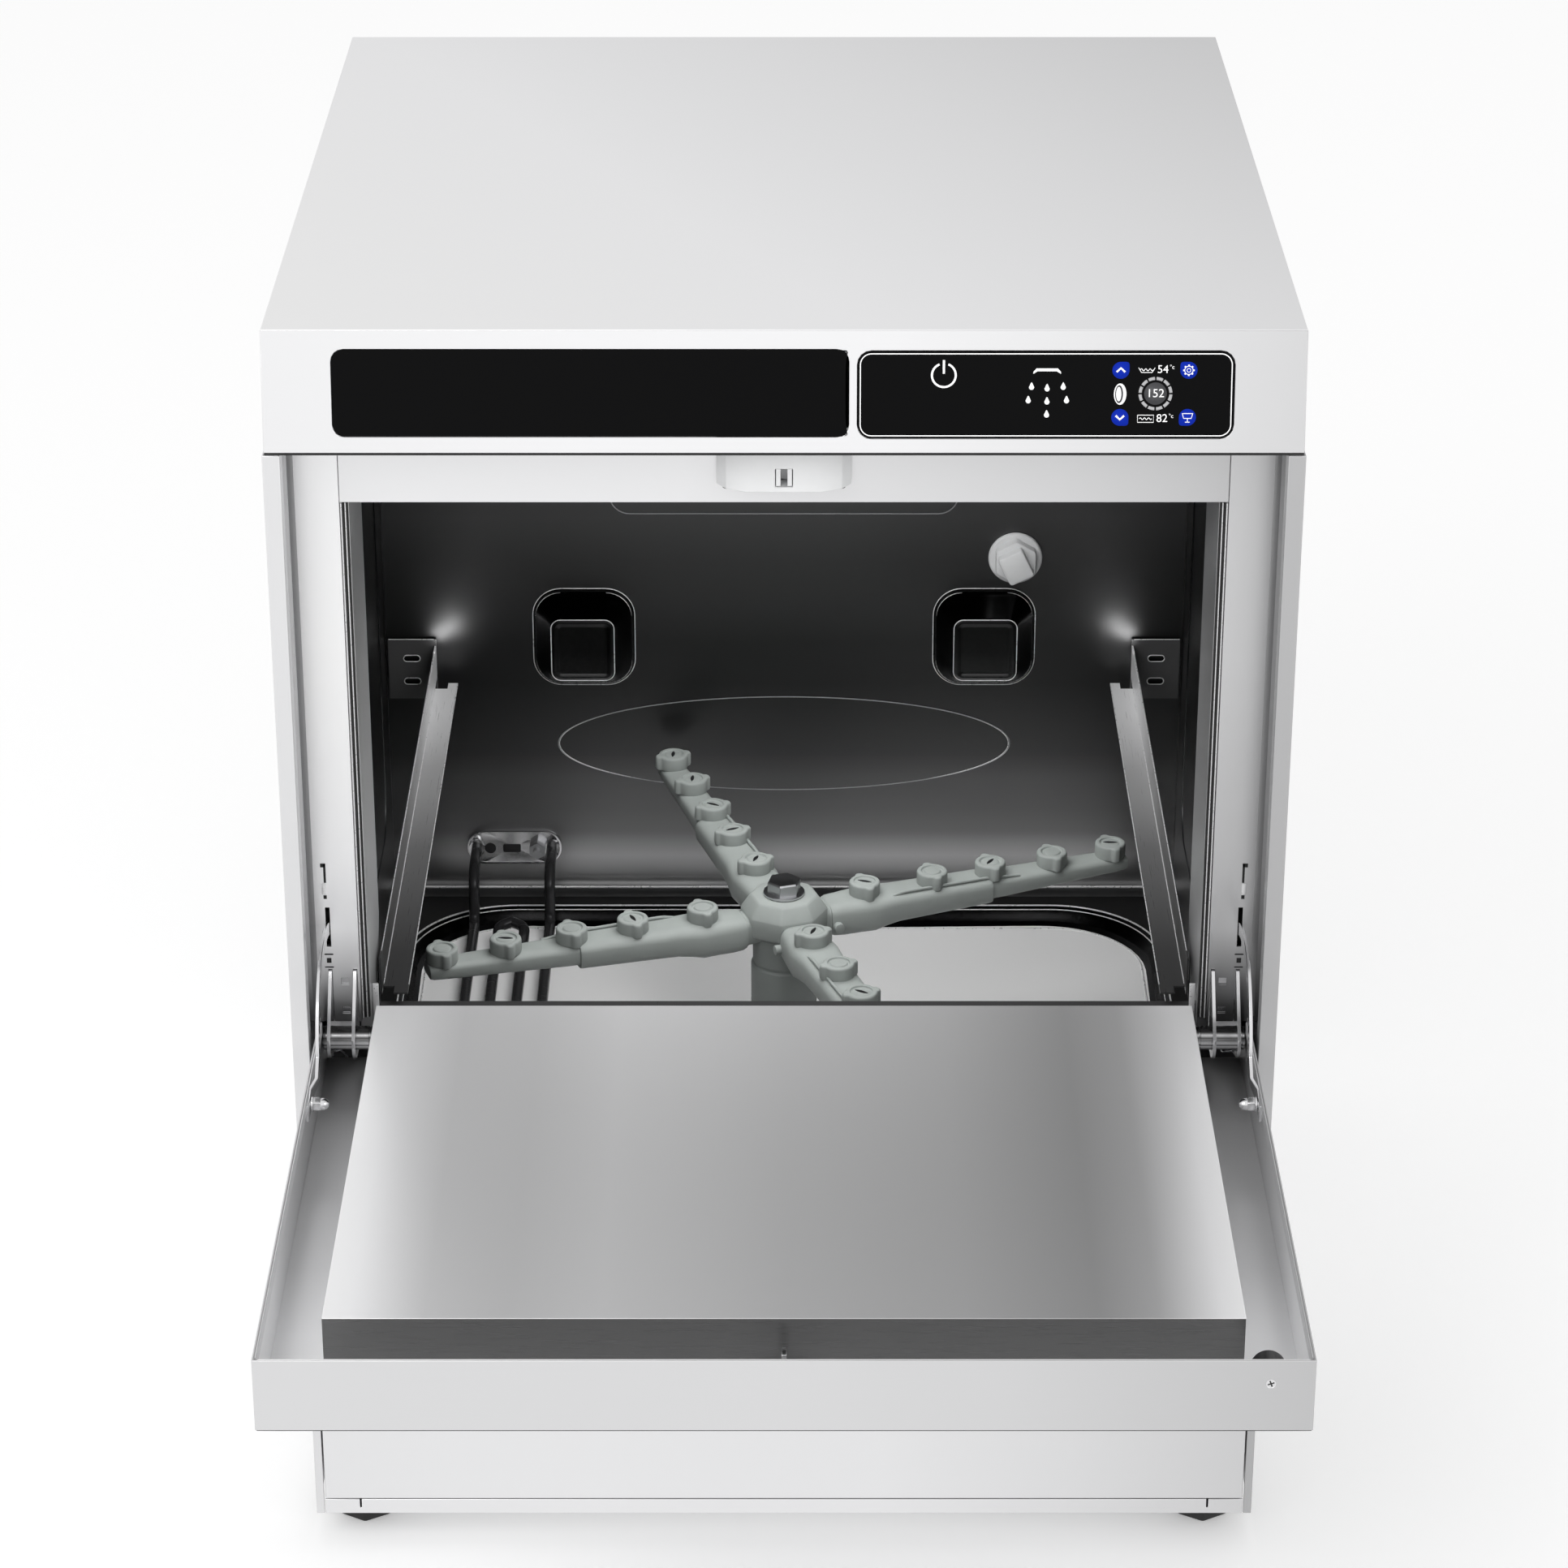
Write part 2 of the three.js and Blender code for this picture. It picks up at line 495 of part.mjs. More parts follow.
/** Hinge bracket: base plate behind the jamb and two fins that carry the shaft. */
function hingeBracket() {
  const back = OPENING.face + SHEET + GAP;
  const reach = 13;
  const fin = new THREE.Shape();
  fin.moveTo(back + 2, 392);
  fin.lineTo(back - 3.6, 392);
  fin.lineTo(HINGE.y - reach * 0.94, HINGE.z + reach * 0.34);
  fin.absarc(HINGE.y, HINGE.z, reach, Math.PI * 0.89, Math.PI * 1.5);
  fin.lineTo(back + 2, HINGE.z - reach);
  const fins = FINS.map((x) => prismX(fin, x - 1, x + 1));
  const plate = box(FINS[0] - 1, FINS[1] + 1, back, back + 2, HINGE.z - reach, 399);
  const bore = bar('x', HINGE.radius + GAP, [250, HINGE.y, HINGE.z], 40, 24);
  return cut(join(plate, ...fins), bore);
}

/** Vector in (Y, Z) turned by an angle. */
const turn = ([y, z], angle) => [
  y * Math.cos(angle) - z * Math.sin(angle), y * Math.sin(angle) + z * Math.cos(angle)];

/**
 * Centre line of the link in the open position, from its tail to its bolt: the points
 * that lie in the jamb's slot as the door turns through a quarter turn, and a tail that
 * keeps the curve's last bend.
 */
function linkCentreLine() {
  const arm = [LINK.boltY - HINGE.y, LINK.boltZ - HINGE.z];
  const slot = [OPENING.face + SHEET / 2, LINK.slotZ];
  const count = 15;
  const line = Array.from({ length: count + 1 }, (_, i) => {
    const angle = (i * Math.PI) / 2 / count;
    const [y, z] = turn(arm, -angle);
    const [dy, dz] = turn([slot[0] - HINGE.y - y, slot[1] - HINGE.z - z], angle * (1 + LINK.ratio));
    return [LINK.boltY + dy, LINK.boltZ + dz];
  });
  const step = [line[0][0] - line[1][0], line[0][1] - line[1][1]];
  const tail = [step];
  for (let i = 1; i < 3; i += 1) tail.push(turn(tail[i - 1], -0.12));
  const points = [...line];
  for (const [dy, dz] of tail) points.unshift([points[0][0] + dy, points[0][1] + dz]);
  return points;
}

/** Link arm: a curved flat bar, set over beside its bolt so that it lies on the door's rim. */
function linkArm() {
  const line = linkCentreLine();
  const knee = line.length;
  const rings = [...line, [LINK.boltY + 16, LINK.boltZ + 7], [LINK.boltY + 8, LINK.boltZ + 2],
    [LINK.boltY, LINK.boltZ], [LINK.boltY - 13, LINK.boltZ + 0.4]];
  return loft(rings.map(([y, z], i) => {
    const before = rings[Math.max(i - 1, 0)];
    const after = rings[Math.min(i + 1, rings.length - 1)];
    const length = Math.hypot(after[0] - before[0], after[1] - before[1]);
    const half = (i > knee ? 5.2 : LINK.width / 2);
    const normal = [((after[1] - before[1]) / length) * half, (-(after[0] - before[0]) / length) * half];
    const x = i > knee ? LINK.x + 3.4 : LINK.x;
    return [[x - 1, y - normal[0], z - normal[1]], [x + 1, y - normal[0], z - normal[1]],
      [x + 1, y + normal[0], z + normal[1]], [x - 1, y + normal[0], z + normal[1]]];
  }));
}

const linkWithEye = () => cut(linkArm(), bar('x', 2.9, [LINK.x - 5, LINK.boltY, LINK.boltZ], 12, 12));

/** Bolt through the door's rim with an acorn nut on the inside. */
function linkBolt() {
  const at = (x) => [x, LINK.boltY, LINK.boltZ];
  const nut = bar('x', 4.6, at(276.4), 4.4, 6);
  const washer = bar('x', 4.8, at(280.9), 1.1, 16);
  const dome = bar('x', 2.4, at(271.4), 5.2, 12, 3.9);
  const shank = bar('x', 2.5, at(276), 9.6, 12);
  return join(dome, nut, washer, shank);
}

/** Balance spring, as the closed cylinder of its coils, from its anchor to the link's tail. */
function doorSpring() {
  const [tailY, tailZ] = linkCentreLine()[0];
  const top = tailZ - 9;
  return bar('z', SPRING.radius, [LINK.x, tailY, SPRING.anchorZ], top - SPRING.anchorZ, 12);
}

// ---------------------------------------------------------------- door (drawn open)

const RIM = 1.2;

/** Outer skin: pressed tray, open towards the chamber, its cheeks cut back at the hinge. */
function doorSkin() {
  const { halfWidth, reach, under, rim, heel } = DOOR;
  const cheek = shapeOf([[-reach, under], [heel, under], [heel, 336], [44.5, 340], [44.5, 350],
    [26, rim], [-reach, rim]]);
  const block = prismX(cheek, -halfWidth, halfWidth);
  const hollow = box(-halfWidth + RIM, halfWidth - RIM, -reach + RIM, heel + 5, under + RIM, rim + 5);
  const holes = [-1, 1].map((s) => bar('x', 2.8, [s > 0 ? 282 : -288, LINK.boltY, LINK.boltZ], 6, 12));
  const magnetHole = bar('y', 2.6, [MAGNET.x, -reach - 2, MAGNET.z], 6, 12);
  return cut(block, hollow, ...holes, magnetHole);
}

/** Inner liner: a shallow box that closes the chamber's mouth. */
function doorLiner() {
  const { halfWidth, front, back } = LINER;
  const [base, top] = [DOOR.under + RIM + GAP, DOOR.rim + RIM];
  const shell = box(-halfWidth, halfWidth, front, back, base, top);
  const hollow = box(-halfWidth + RIM, halfWidth - RIM, front + RIM, back - RIM, base - 1, top - RIM);
  return cut(shell, hollow);
}

const hingeShaft = () => bar('x', HINGE.radius, [LINER.halfWidth + GAP, HINGE.y, HINGE.z],
  DOOR.halfWidth - RIM - LINER.halfWidth - 2 * GAP, 24);

/** Striker: a foot on the skin and the blade that enters the latch. */
function doorStriker() {
  const y = HINGE.y + HINGE.z - (LATCH.windowZ[0] + LATCH.windowZ[1]) / 2;
  const base = DOOR.under + RIM + GAP;
  return join(box(-14, 14, y - 9, y + 9, base, base + 2), box(-1.4, 1.4, y - 4, y + 4, base + 1, 361));
}

/** Door magnet: capsule behind the rim, held by a pan-head screw from the front. */
function doorMagnet() {
  const inner = -DOOR.reach + RIM + GAP;
  const capsule = bar('y', MAGNET.radius, [MAGNET.x, inner, MAGNET.z], MAGNET.length, 20);
  const shank = bar('y', 2.2, [MAGNET.x, -DOOR.reach + 0.2, MAGNET.z], 3.6, 12);
  return join(capsule, shank);
}

// ---------------------------------------------------------------- wash arms

/** One arm along +X from the hub: socket, tapered tube and five nozzle caps. */
function washArm(level, side) {
  const ring = (x, width, height) => {
    const shape = roundedRect(0, 0, width, height, Math.min(width, height) * 0.32);
    return shape.extractPoints(1).shape.slice(0, -1).map((p) => [x, p.x, p.y - (height * side) / 2]);
  };
  const tubeBody = loft([ring(31, 30, 26), ring(58, 34, 24), ring(64, 29, 20), ring(150, 27, 17),
    ring(154, 24, 15), ring(ARM.reach - 3, 20, 11), ring(ARM.reach, 17, 8)]);
  const caps = NOZZLES.map((x) => {
    const round = new THREE.CylinderGeometry(10, 11, 10, 8).rotateX(Math.PI / 2);
    const lugs = box(x - 3.5, x + 3.5, -13.4, 13.4, side > 0 ? -1 : -7, side > 0 ? 7 : 1);
    return join(round.translate(x, 0, side * 4), lugs);
  });
  return join(solid(tubeBody), ...caps).translate([0, 0, level]);
}

const turned = (body, degrees) => body.rotate([0, 0, degrees]).translate([0, ARM.y, 0]);

/** Column that carries the lower arms, with its collar. */
function armColumn() {
  const { radius, shoulder, neck, bore } = COLUMN;
  const bottom = TANK.floor + GAP;
  const top = ARM.level - HUB.below - 2 * GAP;
  const body = bar('z', radius, [0, ARM.y, bottom], shoulder - bottom, 20);
  const collar = bar('z', neck, [0, ARM.y, shoulder - 1], top - shoulder + 1, 20);
  return cut(join(body, collar), bar('z', bore, [0, ARM.y, TANK.floor - 1], 120, 12));
}

/** Octagonal hub on the column; the four arms plug into its sides. */
function armHub() {
  const body = bar('z', HUB.radius, [0, 0, ARM.level - HUB.below], HUB.below, 8);
  const crown = bar('z', HUB.radius, [0, 0, ARM.level - 0.1], HUB.crown, 8, 22);
  return turned(join(body, crown), ARM.first + 22.5);
}

function hubBolt() {
  const top = ARM.level + HUB.crown - 0.1 + GAP;
  return join(bar('z', 14, [0, ARM.y, top], 2, 24), bar('z', 11.8, [0, ARM.y, top + 1.9], 8.5, 6));
}

/** Upper arm: one piece with a hub and two opposed arms, jets downwards. */
function upperArm() {
  const hub = bar('z', 36, [0, 0, ARM.upperLevel - 16], 30, 8);
  const arms = [0, 180].map((angle) => washArm(ARM.upperLevel, -1).rotate([0, 0, angle]));
  return turned(cut(join(hub, ...arms), bar('z', 12.4, [0, 0, ARM.upperLevel - 3], 40)), ARM.upperFirst);
}

function upperSpindle() {
  const top = CHAMBER.top + 4;
  const shaft = bar('z', 7.5, [0, ARM.y, 694], top - 694);
  const collar = bar('z', 20, [0, ARM.y, 720], 24.6, 20);
  return join(shaft, collar, bar('z', 12, [0, ARM.y, 675.5], 20, 16));
}

/** Strainer basket lid over the sump. */
function tankStrainer() {
  const lid = bar('z', 52, [0, SUMP.y, TANK.floor + GAP], 3, 24);
  const grip = bar('z', 9, [0, SUMP.y, TANK.floor + 3], 16, 12);
  const basket = bar('z', 38, [0, SUMP.y, TANK.floor - 20], 21, 16);
  return join(lid, grip, basket);
}

// ---------------------------------------------------------------- plant under the tank

function washPump() {
  const { x, y, z, motor, length, volute, voluteLength } = PUMP;
  const drum = bar('x', motor, [x, y, z], length, 16);
  const chamber = bar('x', volute, [x + length - 2, y, z], voluteLength, 20);
  const outlet = bar('y', 15, [RISER.x, y + 40, 116], 78, 12);
  const intake = bar('x', 17, [x + length + voluteLength - 4, y, z], 24, 12);
  return join(drum, chamber, outlet, intake);
}

/** Rinse boiler: a drum, open at its port, with the element's head on its end. */
function boiler() {
  const { x, y, z, radius, length, wall } = BOILER;
  const drum = bar('x', radius, [x, y, z], length, 24);
  const element = bar('x', 14, [x + length - 1, y, z], 22, 12);
  const hollow = bar('x', radius - wall, [x + wall, y, z], length - 2 * wall, 24);
  const port = bar('z', 7, [-200, y, z + 32], 30, 10);
  return cut(join(drum, element), hollow, port);
}

function drainPump() {
  const [x, y] = [PORTS.drain, 545];
  const motor = bar('z', 30, [x, y, 50], 46, 16);
  const chamber = bar('z', 36, [x, y, 46], 22, 20);
  const outlet = bar('y', 10, [x, y + 15, PORTS.z], 52, 16);
  const bore = bar('y', 8, [x, y + 45, PORTS.z], 30, 16);
  return cut(join(motor, chamber, outlet), bore);
}

function dosingPump() {
  const { x, y, z } = DOSING;
  const head = bar('y', 24, [(x[0] + x[1]) / 2 - 0.5, y[1] - 1, (z[0] + z[1]) / 2], 22, 16);
  return join(box(...x, ...y, ...z), head);
}

/** Water inlet: solenoid valve body and its threaded stub in the connection pocket. */
function inletValve() {
  const x = PORTS.water;
  const body = box(x - 18, x + 18, 536, 578, PORTS.z - 20, PORTS.z + 20);
  const coil = bar('z', 14, [x, 552, PORTS.z + 19], 26, 16);
  const stub = bar('y', 13.2, [x, 577, PORTS.z], 38, 18);
  return cut(join(body, coil, stub), bar('y', 10, [x, 600, PORTS.z], 30, 16));
}

/** Gland where the supply lead enters. */
function cableGland() {
  const x = PORTS.lead;
  const nut = bar('y', 12, [x, 587.6, PORTS.z], 9, 6);
  const dome = bar('y', 9.5, [x, 596, PORTS.z], 10, 16, 7);
  const thread = bar('y', 8.4, [x, 572, PORTS.z], 17, 16);
  return cut(join(nut, dome, thread), bar('y', 4.5, [x, 565, PORTS.z], 60, 12));
}

/** Feed pipe from the wash pump, up behind the back wall and over the ceiling. */
function riserPipe() {
  const { x, radius, behind, above } = RISER;
  const [y, z] = [CHAMBER.back + behind, CHAMBER.top + above];
  const upright = [[x, 560, 116], [x, 578, 117], [x, y - 9, 126], [x, y, 150], [x, y, 400], [x, y, z - 44]];
  const over = [[x, y - 2, z - 10], [x - 6, y - 26, z], [x - 40, y - 80, z], [60, ARM.y + 70, z],
    [14, ARM.y + 18, z], [2, ARM.y + 3, z - 1]];
  return tube([...upright, ...over], radius, 44);
}

// ---------------------------------------------------------------- assembly

part('base_frame', baseFrame(), steel);
pair('side_panel', sidePanel(), steel);
part('back_panel', backPanel(), galvanised);
part('top_cover', topCover(), steel);
part('control_fascia', controlFascia(), steel);
part('fascia_glass', fasciaGlass(STRIP), blackGlass);
part('touch_panel', fasciaGlass(TOUCH), blackGlass);
part('control_board', controlBoard(), board);
part('lower_service_panel', servicePanel(), steel);
pair('foot_front', foot(FOOT.x, FOOT.frontY), rubber);
pair('foot_rear', foot(FOOT.x, FOOT.rearY), rubber);

pair('jamb', jamb(), steel);
part('top_rail', topRail(), steel);
part('chamber_back_wall', backWall(), polished);
pair('chamber_side_wall', sideWall(), polished);
part('chamber_ceiling', ceiling(), polished);
part('wash_tank', washTank(), polished);
part('tank_sill', sill(), steel);
pair('rack_rail', rackRail(), steel);
part('rinse_inlet_fitting', inletFitting(), lightPlastic);
part('heating_element', heatingElement(), polished);
part('latch_housing', latchHousing(), lightPlastic);
part('latch_catch', latchCatch(), lightPlastic);

pair('hinge_bracket', hingeBracket(), polished);
pair('link_arm', linkWithEye(), polished);
pair('link_bolt', linkBolt(), polished);
pair('door_spring', doorSpring(), galvanised);
part('door_skin', doorSkin(), steel);
part('door_liner', doorLiner(), steel);
pair('hinge_shaft', hingeShaft(), polished);
part('door_striker', doorStriker(), polished);
part('door_magnet', doorMagnet(), blackPlastic);

part('arm_column', armColumn(), greyPlastic);
part('arm_hub', armHub(), greyPlastic);
part('hub_bolt', hubBolt(), galvanised);
for (let i = 0; i < 4; i += 1) {
  part(`lower_wash_arm_${i + 1}`, turned(washArm(ARM.level, 1), ARM.first + 90 * i), greyPlastic);
}
part('upper_spindle', upperSpindle(), greyPlastic);
part('upper_wash_arm', upperArm(), greyPlastic);
part('tank_strainer', tankStrainer(), polished);

part('wash_pump', washPump(), galvanised);
part('rinse_boiler', boiler(), polished);
part('drain_pump', drainPump(), blackPlastic);
part('dosing_pump', dosingPump(), blackPlastic);
part('inlet_valve', inletValve(), lightPlastic);
part('cable_gland', cableGland(), blackPlastic);
part('riser_pipe', riserPipe(), galvanised);

machine.position.y = -(CABINET.depth - DOOR.reach) / 2;

const glassWasher = new THREE.Group();
glassWasher.add(machine);

export default glassWasher;
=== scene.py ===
# %% [markdown]
# # A glass washer, surfaced in Blender
# The machine's solids are already made and packed: every sheet, hinge and joint is where it
# belongs. This lesson puts the visible surface on them. Flat sheet metal keeps its solid shape
# and gets fine rounded folds. Mouldings, tubes, springs, pressings and prints are worked out
# again as smooth numpy surfaces. Lengths are in millimetres, measured in the cabinet's own
# frame: X to the right, Y back from the cabinet's front plane, Z up from the floor.

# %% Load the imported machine
import json
import math

import bmesh
import bpy
import numpy as np
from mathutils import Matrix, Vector


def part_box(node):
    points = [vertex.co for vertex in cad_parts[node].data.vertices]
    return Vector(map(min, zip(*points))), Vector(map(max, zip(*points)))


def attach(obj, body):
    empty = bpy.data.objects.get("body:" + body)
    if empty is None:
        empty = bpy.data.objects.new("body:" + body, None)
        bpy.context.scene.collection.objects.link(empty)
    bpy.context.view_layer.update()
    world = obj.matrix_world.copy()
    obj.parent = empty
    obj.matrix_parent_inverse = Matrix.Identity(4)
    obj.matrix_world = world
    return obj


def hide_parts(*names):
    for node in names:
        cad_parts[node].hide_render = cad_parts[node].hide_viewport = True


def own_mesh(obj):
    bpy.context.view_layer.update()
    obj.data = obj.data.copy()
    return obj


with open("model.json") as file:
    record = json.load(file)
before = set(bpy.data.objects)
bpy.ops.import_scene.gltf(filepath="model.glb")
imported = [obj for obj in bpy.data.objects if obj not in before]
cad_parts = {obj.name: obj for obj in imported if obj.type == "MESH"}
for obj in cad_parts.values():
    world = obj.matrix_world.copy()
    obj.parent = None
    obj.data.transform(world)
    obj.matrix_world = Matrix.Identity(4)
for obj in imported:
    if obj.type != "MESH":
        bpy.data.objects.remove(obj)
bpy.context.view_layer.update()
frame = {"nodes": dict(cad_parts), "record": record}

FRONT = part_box("lower_service_panel")[0][1]

# %% [markdown]
# ## Measuring and placing
# Blender works in metres in the machine's row frame. Two helpers carry lengths across: `span`
# reads the box of a solid in cabinet millimetres, and `placed` turns cabinet millimetres into
# row metres. A surface that stands for a solid takes
# its place from that solid.

# %% Reading a solid's place and going back to metres
def span(node):
    """Lowest and highest corner of a CAD node in cabinet millimetres."""
    low, high = (np.array(corner, float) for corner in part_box(node))
    shift = np.array([0.0, FRONT, 0.0])
    return (low - shift) * 1000, (high - shift) * 1000


def placed(points):
    """Cabinet millimetres to row metres: divide by a thousand, then shift the front plane."""
    return np.asarray(points, float).reshape(-1, 3) / 1000 + np.array([0.0, FRONT, 0.0])


liner_low, liner_high = span("door_liner")
print("door liner spans", np.round(liner_low, 1), "to", np.round(liner_high, 1), "mm")

# %% [markdown]
# ## Camera and light
# The view looks down on the open door from the front with a long lens, so the cabinet's sides
# almost run parallel. Light is a plain white studio: a bright sky that dims a little towards the
# back and the right, two broad soft boxes, one lamp inside the chamber that brings the tank and the
# back wall out of the dark, and two tiny ones that leave a glint behind the rails. The chamber's
# lamp must not be mirrored in the door's liner, so it is hidden from glossy rays.

# %% Camera
def add_camera(height=1674.6, distance=2418.4, pitch=25.13, lens=103.3):
    """Camera on the machine's middle plane, `distance` in front, looking down by `pitch` degrees."""
    data = bpy.data.cameras.new("camera")
    data.lens, data.sensor_width = lens, 36
    data.clip_start, data.clip_end = 0.05, 50
    camera = bpy.data.objects.new("camera", data)
    camera.location = placed([0, -distance, height])[0]
    camera.rotation_euler = (math.radians(90 - pitch), 0, 0)
    bpy.context.collection.objects.link(camera)
    bpy.context.scene.camera = camera
    return camera


print("camera at", np.round(add_camera().location, 3))


# %% World and lamps
def add_world(level=1.02, to_the_right=-0.06, to_the_back=-0.16):
    """Studio sky whose brightness is `level` plus a slope times the ray's direction: a little
    dimmer to the right and to the back. Rays from the camera see plain white."""
    world = bpy.data.worlds.new("studio")
    world.use_nodes = True
    nodes, links = world.node_tree.nodes, world.node_tree.links
    nodes.clear()
    coordinate = nodes.new("ShaderNodeTexCoord")
    slope = nodes.new("ShaderNodeVectorMath")
    slope.operation = "DOT_PRODUCT"
    slope.inputs[1].default_value = (to_the_right, to_the_back, 0.0)
    total = nodes.new("ShaderNodeMath")
    total.operation = "ADD"
    total.inputs[1].default_value = level
    studio = nodes.new("ShaderNodeBackground")
    plain = nodes.new("ShaderNodeBackground")
    plain.inputs["Color"].default_value = (1, 1, 1, 1)
    path = nodes.new("ShaderNodeLightPath")
    mix = nodes.new("ShaderNodeMixShader")
    output = nodes.new("ShaderNodeOutputWorld")
    links.new(coordinate.outputs["Generated"], slope.inputs[0])
    links.new(slope.outputs["Value"], total.inputs[0])
    links.new(total.outputs[0], studio.inputs["Strength"])
    links.new(path.outputs["Is Camera Ray"], mix.inputs[0])
    links.new(studio.outputs[0], mix.inputs[1])
    links.new(plain.outputs[0], mix.inputs[2])
    links.new(mix.outputs[0], output.inputs[0])
    bpy.context.scene.world = world


def add_lamp(name, place, aim, size, watts, mirrored=True):
    """Soft box at `place`, facing `aim`, both in cabinet millimetres. Steel mirrors it or not."""
    data = bpy.data.lights.new(name, "AREA")
    data.shape, data.size, data.size_y, data.energy = "RECTANGLE", size[0], size[1], watts
    lamp = bpy.data.objects.new(name, data)
    start, end = placed([place, aim])
    lamp.location = start
    lamp.rotation_euler = Vector(end - start).to_track_quat("-Z", "Y").to_euler()
    lamp.visible_glossy, lamp.visible_camera = mirrored, False
    bpy.context.collection.objects.link(lamp)
    return lamp


add_world()
add_lamp("key_box", (-1500, -1900, 2300), (0, 100, 400), (1.6, 1.6), 22)
add_lamp("fill_box", (1700, -1700, 1500), (0, 0, 400), (1.4, 1.6), 9)
add_lamp("chamber_glow", (0, 330, 640), (0, 330, 100), (0.34, 0.34), 1.9, mirrored=False)
for side in (-1, 1):
    add_lamp(f"rail_glint_{side}", (side * 247, 562, 376), (side * 200, 590, 480), (0.03, 0.01), 0.008)
bpy.context.scene.view_settings.view_transform = "Standard"

# %% [markdown]
# ## Surfaces from arrays
# Every new piece is a grid of points: rings of points, one after another, joined by four-sided
# faces. A ring can be a circle, a rounded rectangle or a rounded polygon, and the rings move along
# an axis or a path while they grow and shrink. Caps close the two ends.

# %% Grids, caps and the mesh itself
def grid_faces(rows, columns, start=0):
    """Quads of a grid whose columns wrap round: point (i, j) is number i * columns + j."""
    i = np.arange(rows - 1)[:, None] * columns
    j = np.arange(columns)[None, :]
    k = (j + 1) % columns
    quads = np.stack([i + j, i + k, i + columns + k, i + columns + j], axis=-1)
    return (quads.reshape(-1, 4) + start).tolist()


def skin(rings, caps=True):
    """Closed surface through the rings, an array (rows, columns, 3), as (points, faces)."""
    rings = np.asarray(rings, float)
    rows, columns = rings.shape[:2]
    faces = grid_faces(rows, columns)
    if caps:
        last = (rows - 1) * columns
        faces.append(list(range(columns))[::-1])
        faces.append([last + j for j in range(columns)])
    return rings.reshape(-1, 3), faces


def together(*parts):
    """Several (points, faces) pairs as one pair; face numbers are shifted past earlier points."""
    points, faces, shift = [], [], 0
    for some_points, some_faces in parts:
        points.append(np.asarray(some_points, float).reshape(-1, 3))
        faces += [[shift + index for index in face] for face in some_faces]
        shift += len(points[-1])
    return np.vstack(points), faces


def make(name, surface, material, body, replaces=(), smooth=32, outward=True):
    """Object from a surface in cabinet millimetres, with its finish and body; the nodes it replaces are
    hidden.
    """
    points, faces = surface
    mesh = bpy.data.meshes.new(name)
    mesh.from_pydata(placed(points).tolist(), [], faces)
    if outward:
        work = bmesh.new()
        work.from_mesh(mesh)
        bmesh.ops.recalc_face_normals(work, faces=work.faces)
        work.to_mesh(mesh)
        work.free()
    mesh.shade_smooth()
    mesh.set_sharp_from_angle(angle=math.radians(smooth))
    piece = bpy.data.objects.new(name, mesh)
    bpy.context.collection.objects.link(piece)
    return settle(piece, material, body, replaces)


def settle(piece, material, body, replaces=()):
    """Gives a finished piece its material and its body, and hides the nodes it stands for."""
    piece.data.materials.clear()
    piece.data.materials.append(material)
    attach(piece, body)
    if replaces:
        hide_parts(*replaces)
    return piece


# %% Rings
def circle(radius, count=48):
    """Points at equal angles on a circle."""
    angle = np.linspace(0, 2 * np.pi, count, endpoint=False)
    return np.stack([radius * np.cos(angle), radius * np.sin(angle)], axis=-1)


def rounded_rect(width, height, radius, count=8):
    """Rectangle with quarter-circle corners, `count` + 1 points to a corner, counter-clockwise."""
    quarter = np.linspace(0, np.pi / 2, count + 1)
    turn = np.arange(4)[:, None] * np.pi / 2 + quarter[None, :]
    signs = np.array([[1, 1], [-1, 1], [-1, -1], [1, -1]])[:, None, :]
    middle = signs * np.array([width / 2 - radius, height / 2 - radius])
    arc = radius * np.stack([np.cos(turn), np.sin(turn)], axis=-1)
    return (middle + arc).reshape(-1, 2)


def polygon(radius, sides, rounding=0.14, count=6, turn=0.0):
    """Regular polygon with rounded corners: each corner is a quadratic curve between the points
    that lie `rounding` of the way along its two sides."""
    angle = 2 * np.pi * np.arange(sides) / sides + turn
    corner = radius * np.stack([np.cos(angle), np.sin(angle)], axis=-1)
    before, after = np.roll(corner, 1, axis=0), np.roll(corner, -1, axis=0)
    start = corner + rounding * (before - corner)
    end = corner + rounding * (after - corner)
    t = np.linspace(0, 1, count)[None, :, None]
    curve = (1 - t) ** 2 * start[:, None] + 2 * t * (1 - t) * corner[:, None] + t ** 2 * end[:, None]
    return curve.reshape(-1, 2)


AXIS = {"x": (1, 2, 0), "y": (2, 0, 1), "z": (0, 1, 2)}


def stack(outline, profile, axis="z", centre=(0, 0, 0)):
    """Outline carried along an axis: at each (scale, height) of the profile the outline is scaled
    and moved. Scale 1 is full size."""
    scale, height = np.array(profile, float).T
    ring = scale[:, None, None] * np.asarray(outline)[None]
    level = np.broadcast_to(height[:, None, None], ring.shape[:2] + (1,))
    local = np.concatenate([ring, level], axis=-1)
    order = AXIS[axis]
    points = np.empty_like(local)
    points[..., order[0]], points[..., order[1]], points[..., order[2]] = np.moveaxis(local, -1, 0)
    return skin(points + np.array(centre, float))


def lathe(profile, axis="z", centre=(0, 0, 0), count=48):
    """Solid of revolution: a unit circle stacked with each (radius, height) of the profile."""
    return stack(circle(1, count), profile, axis, centre)


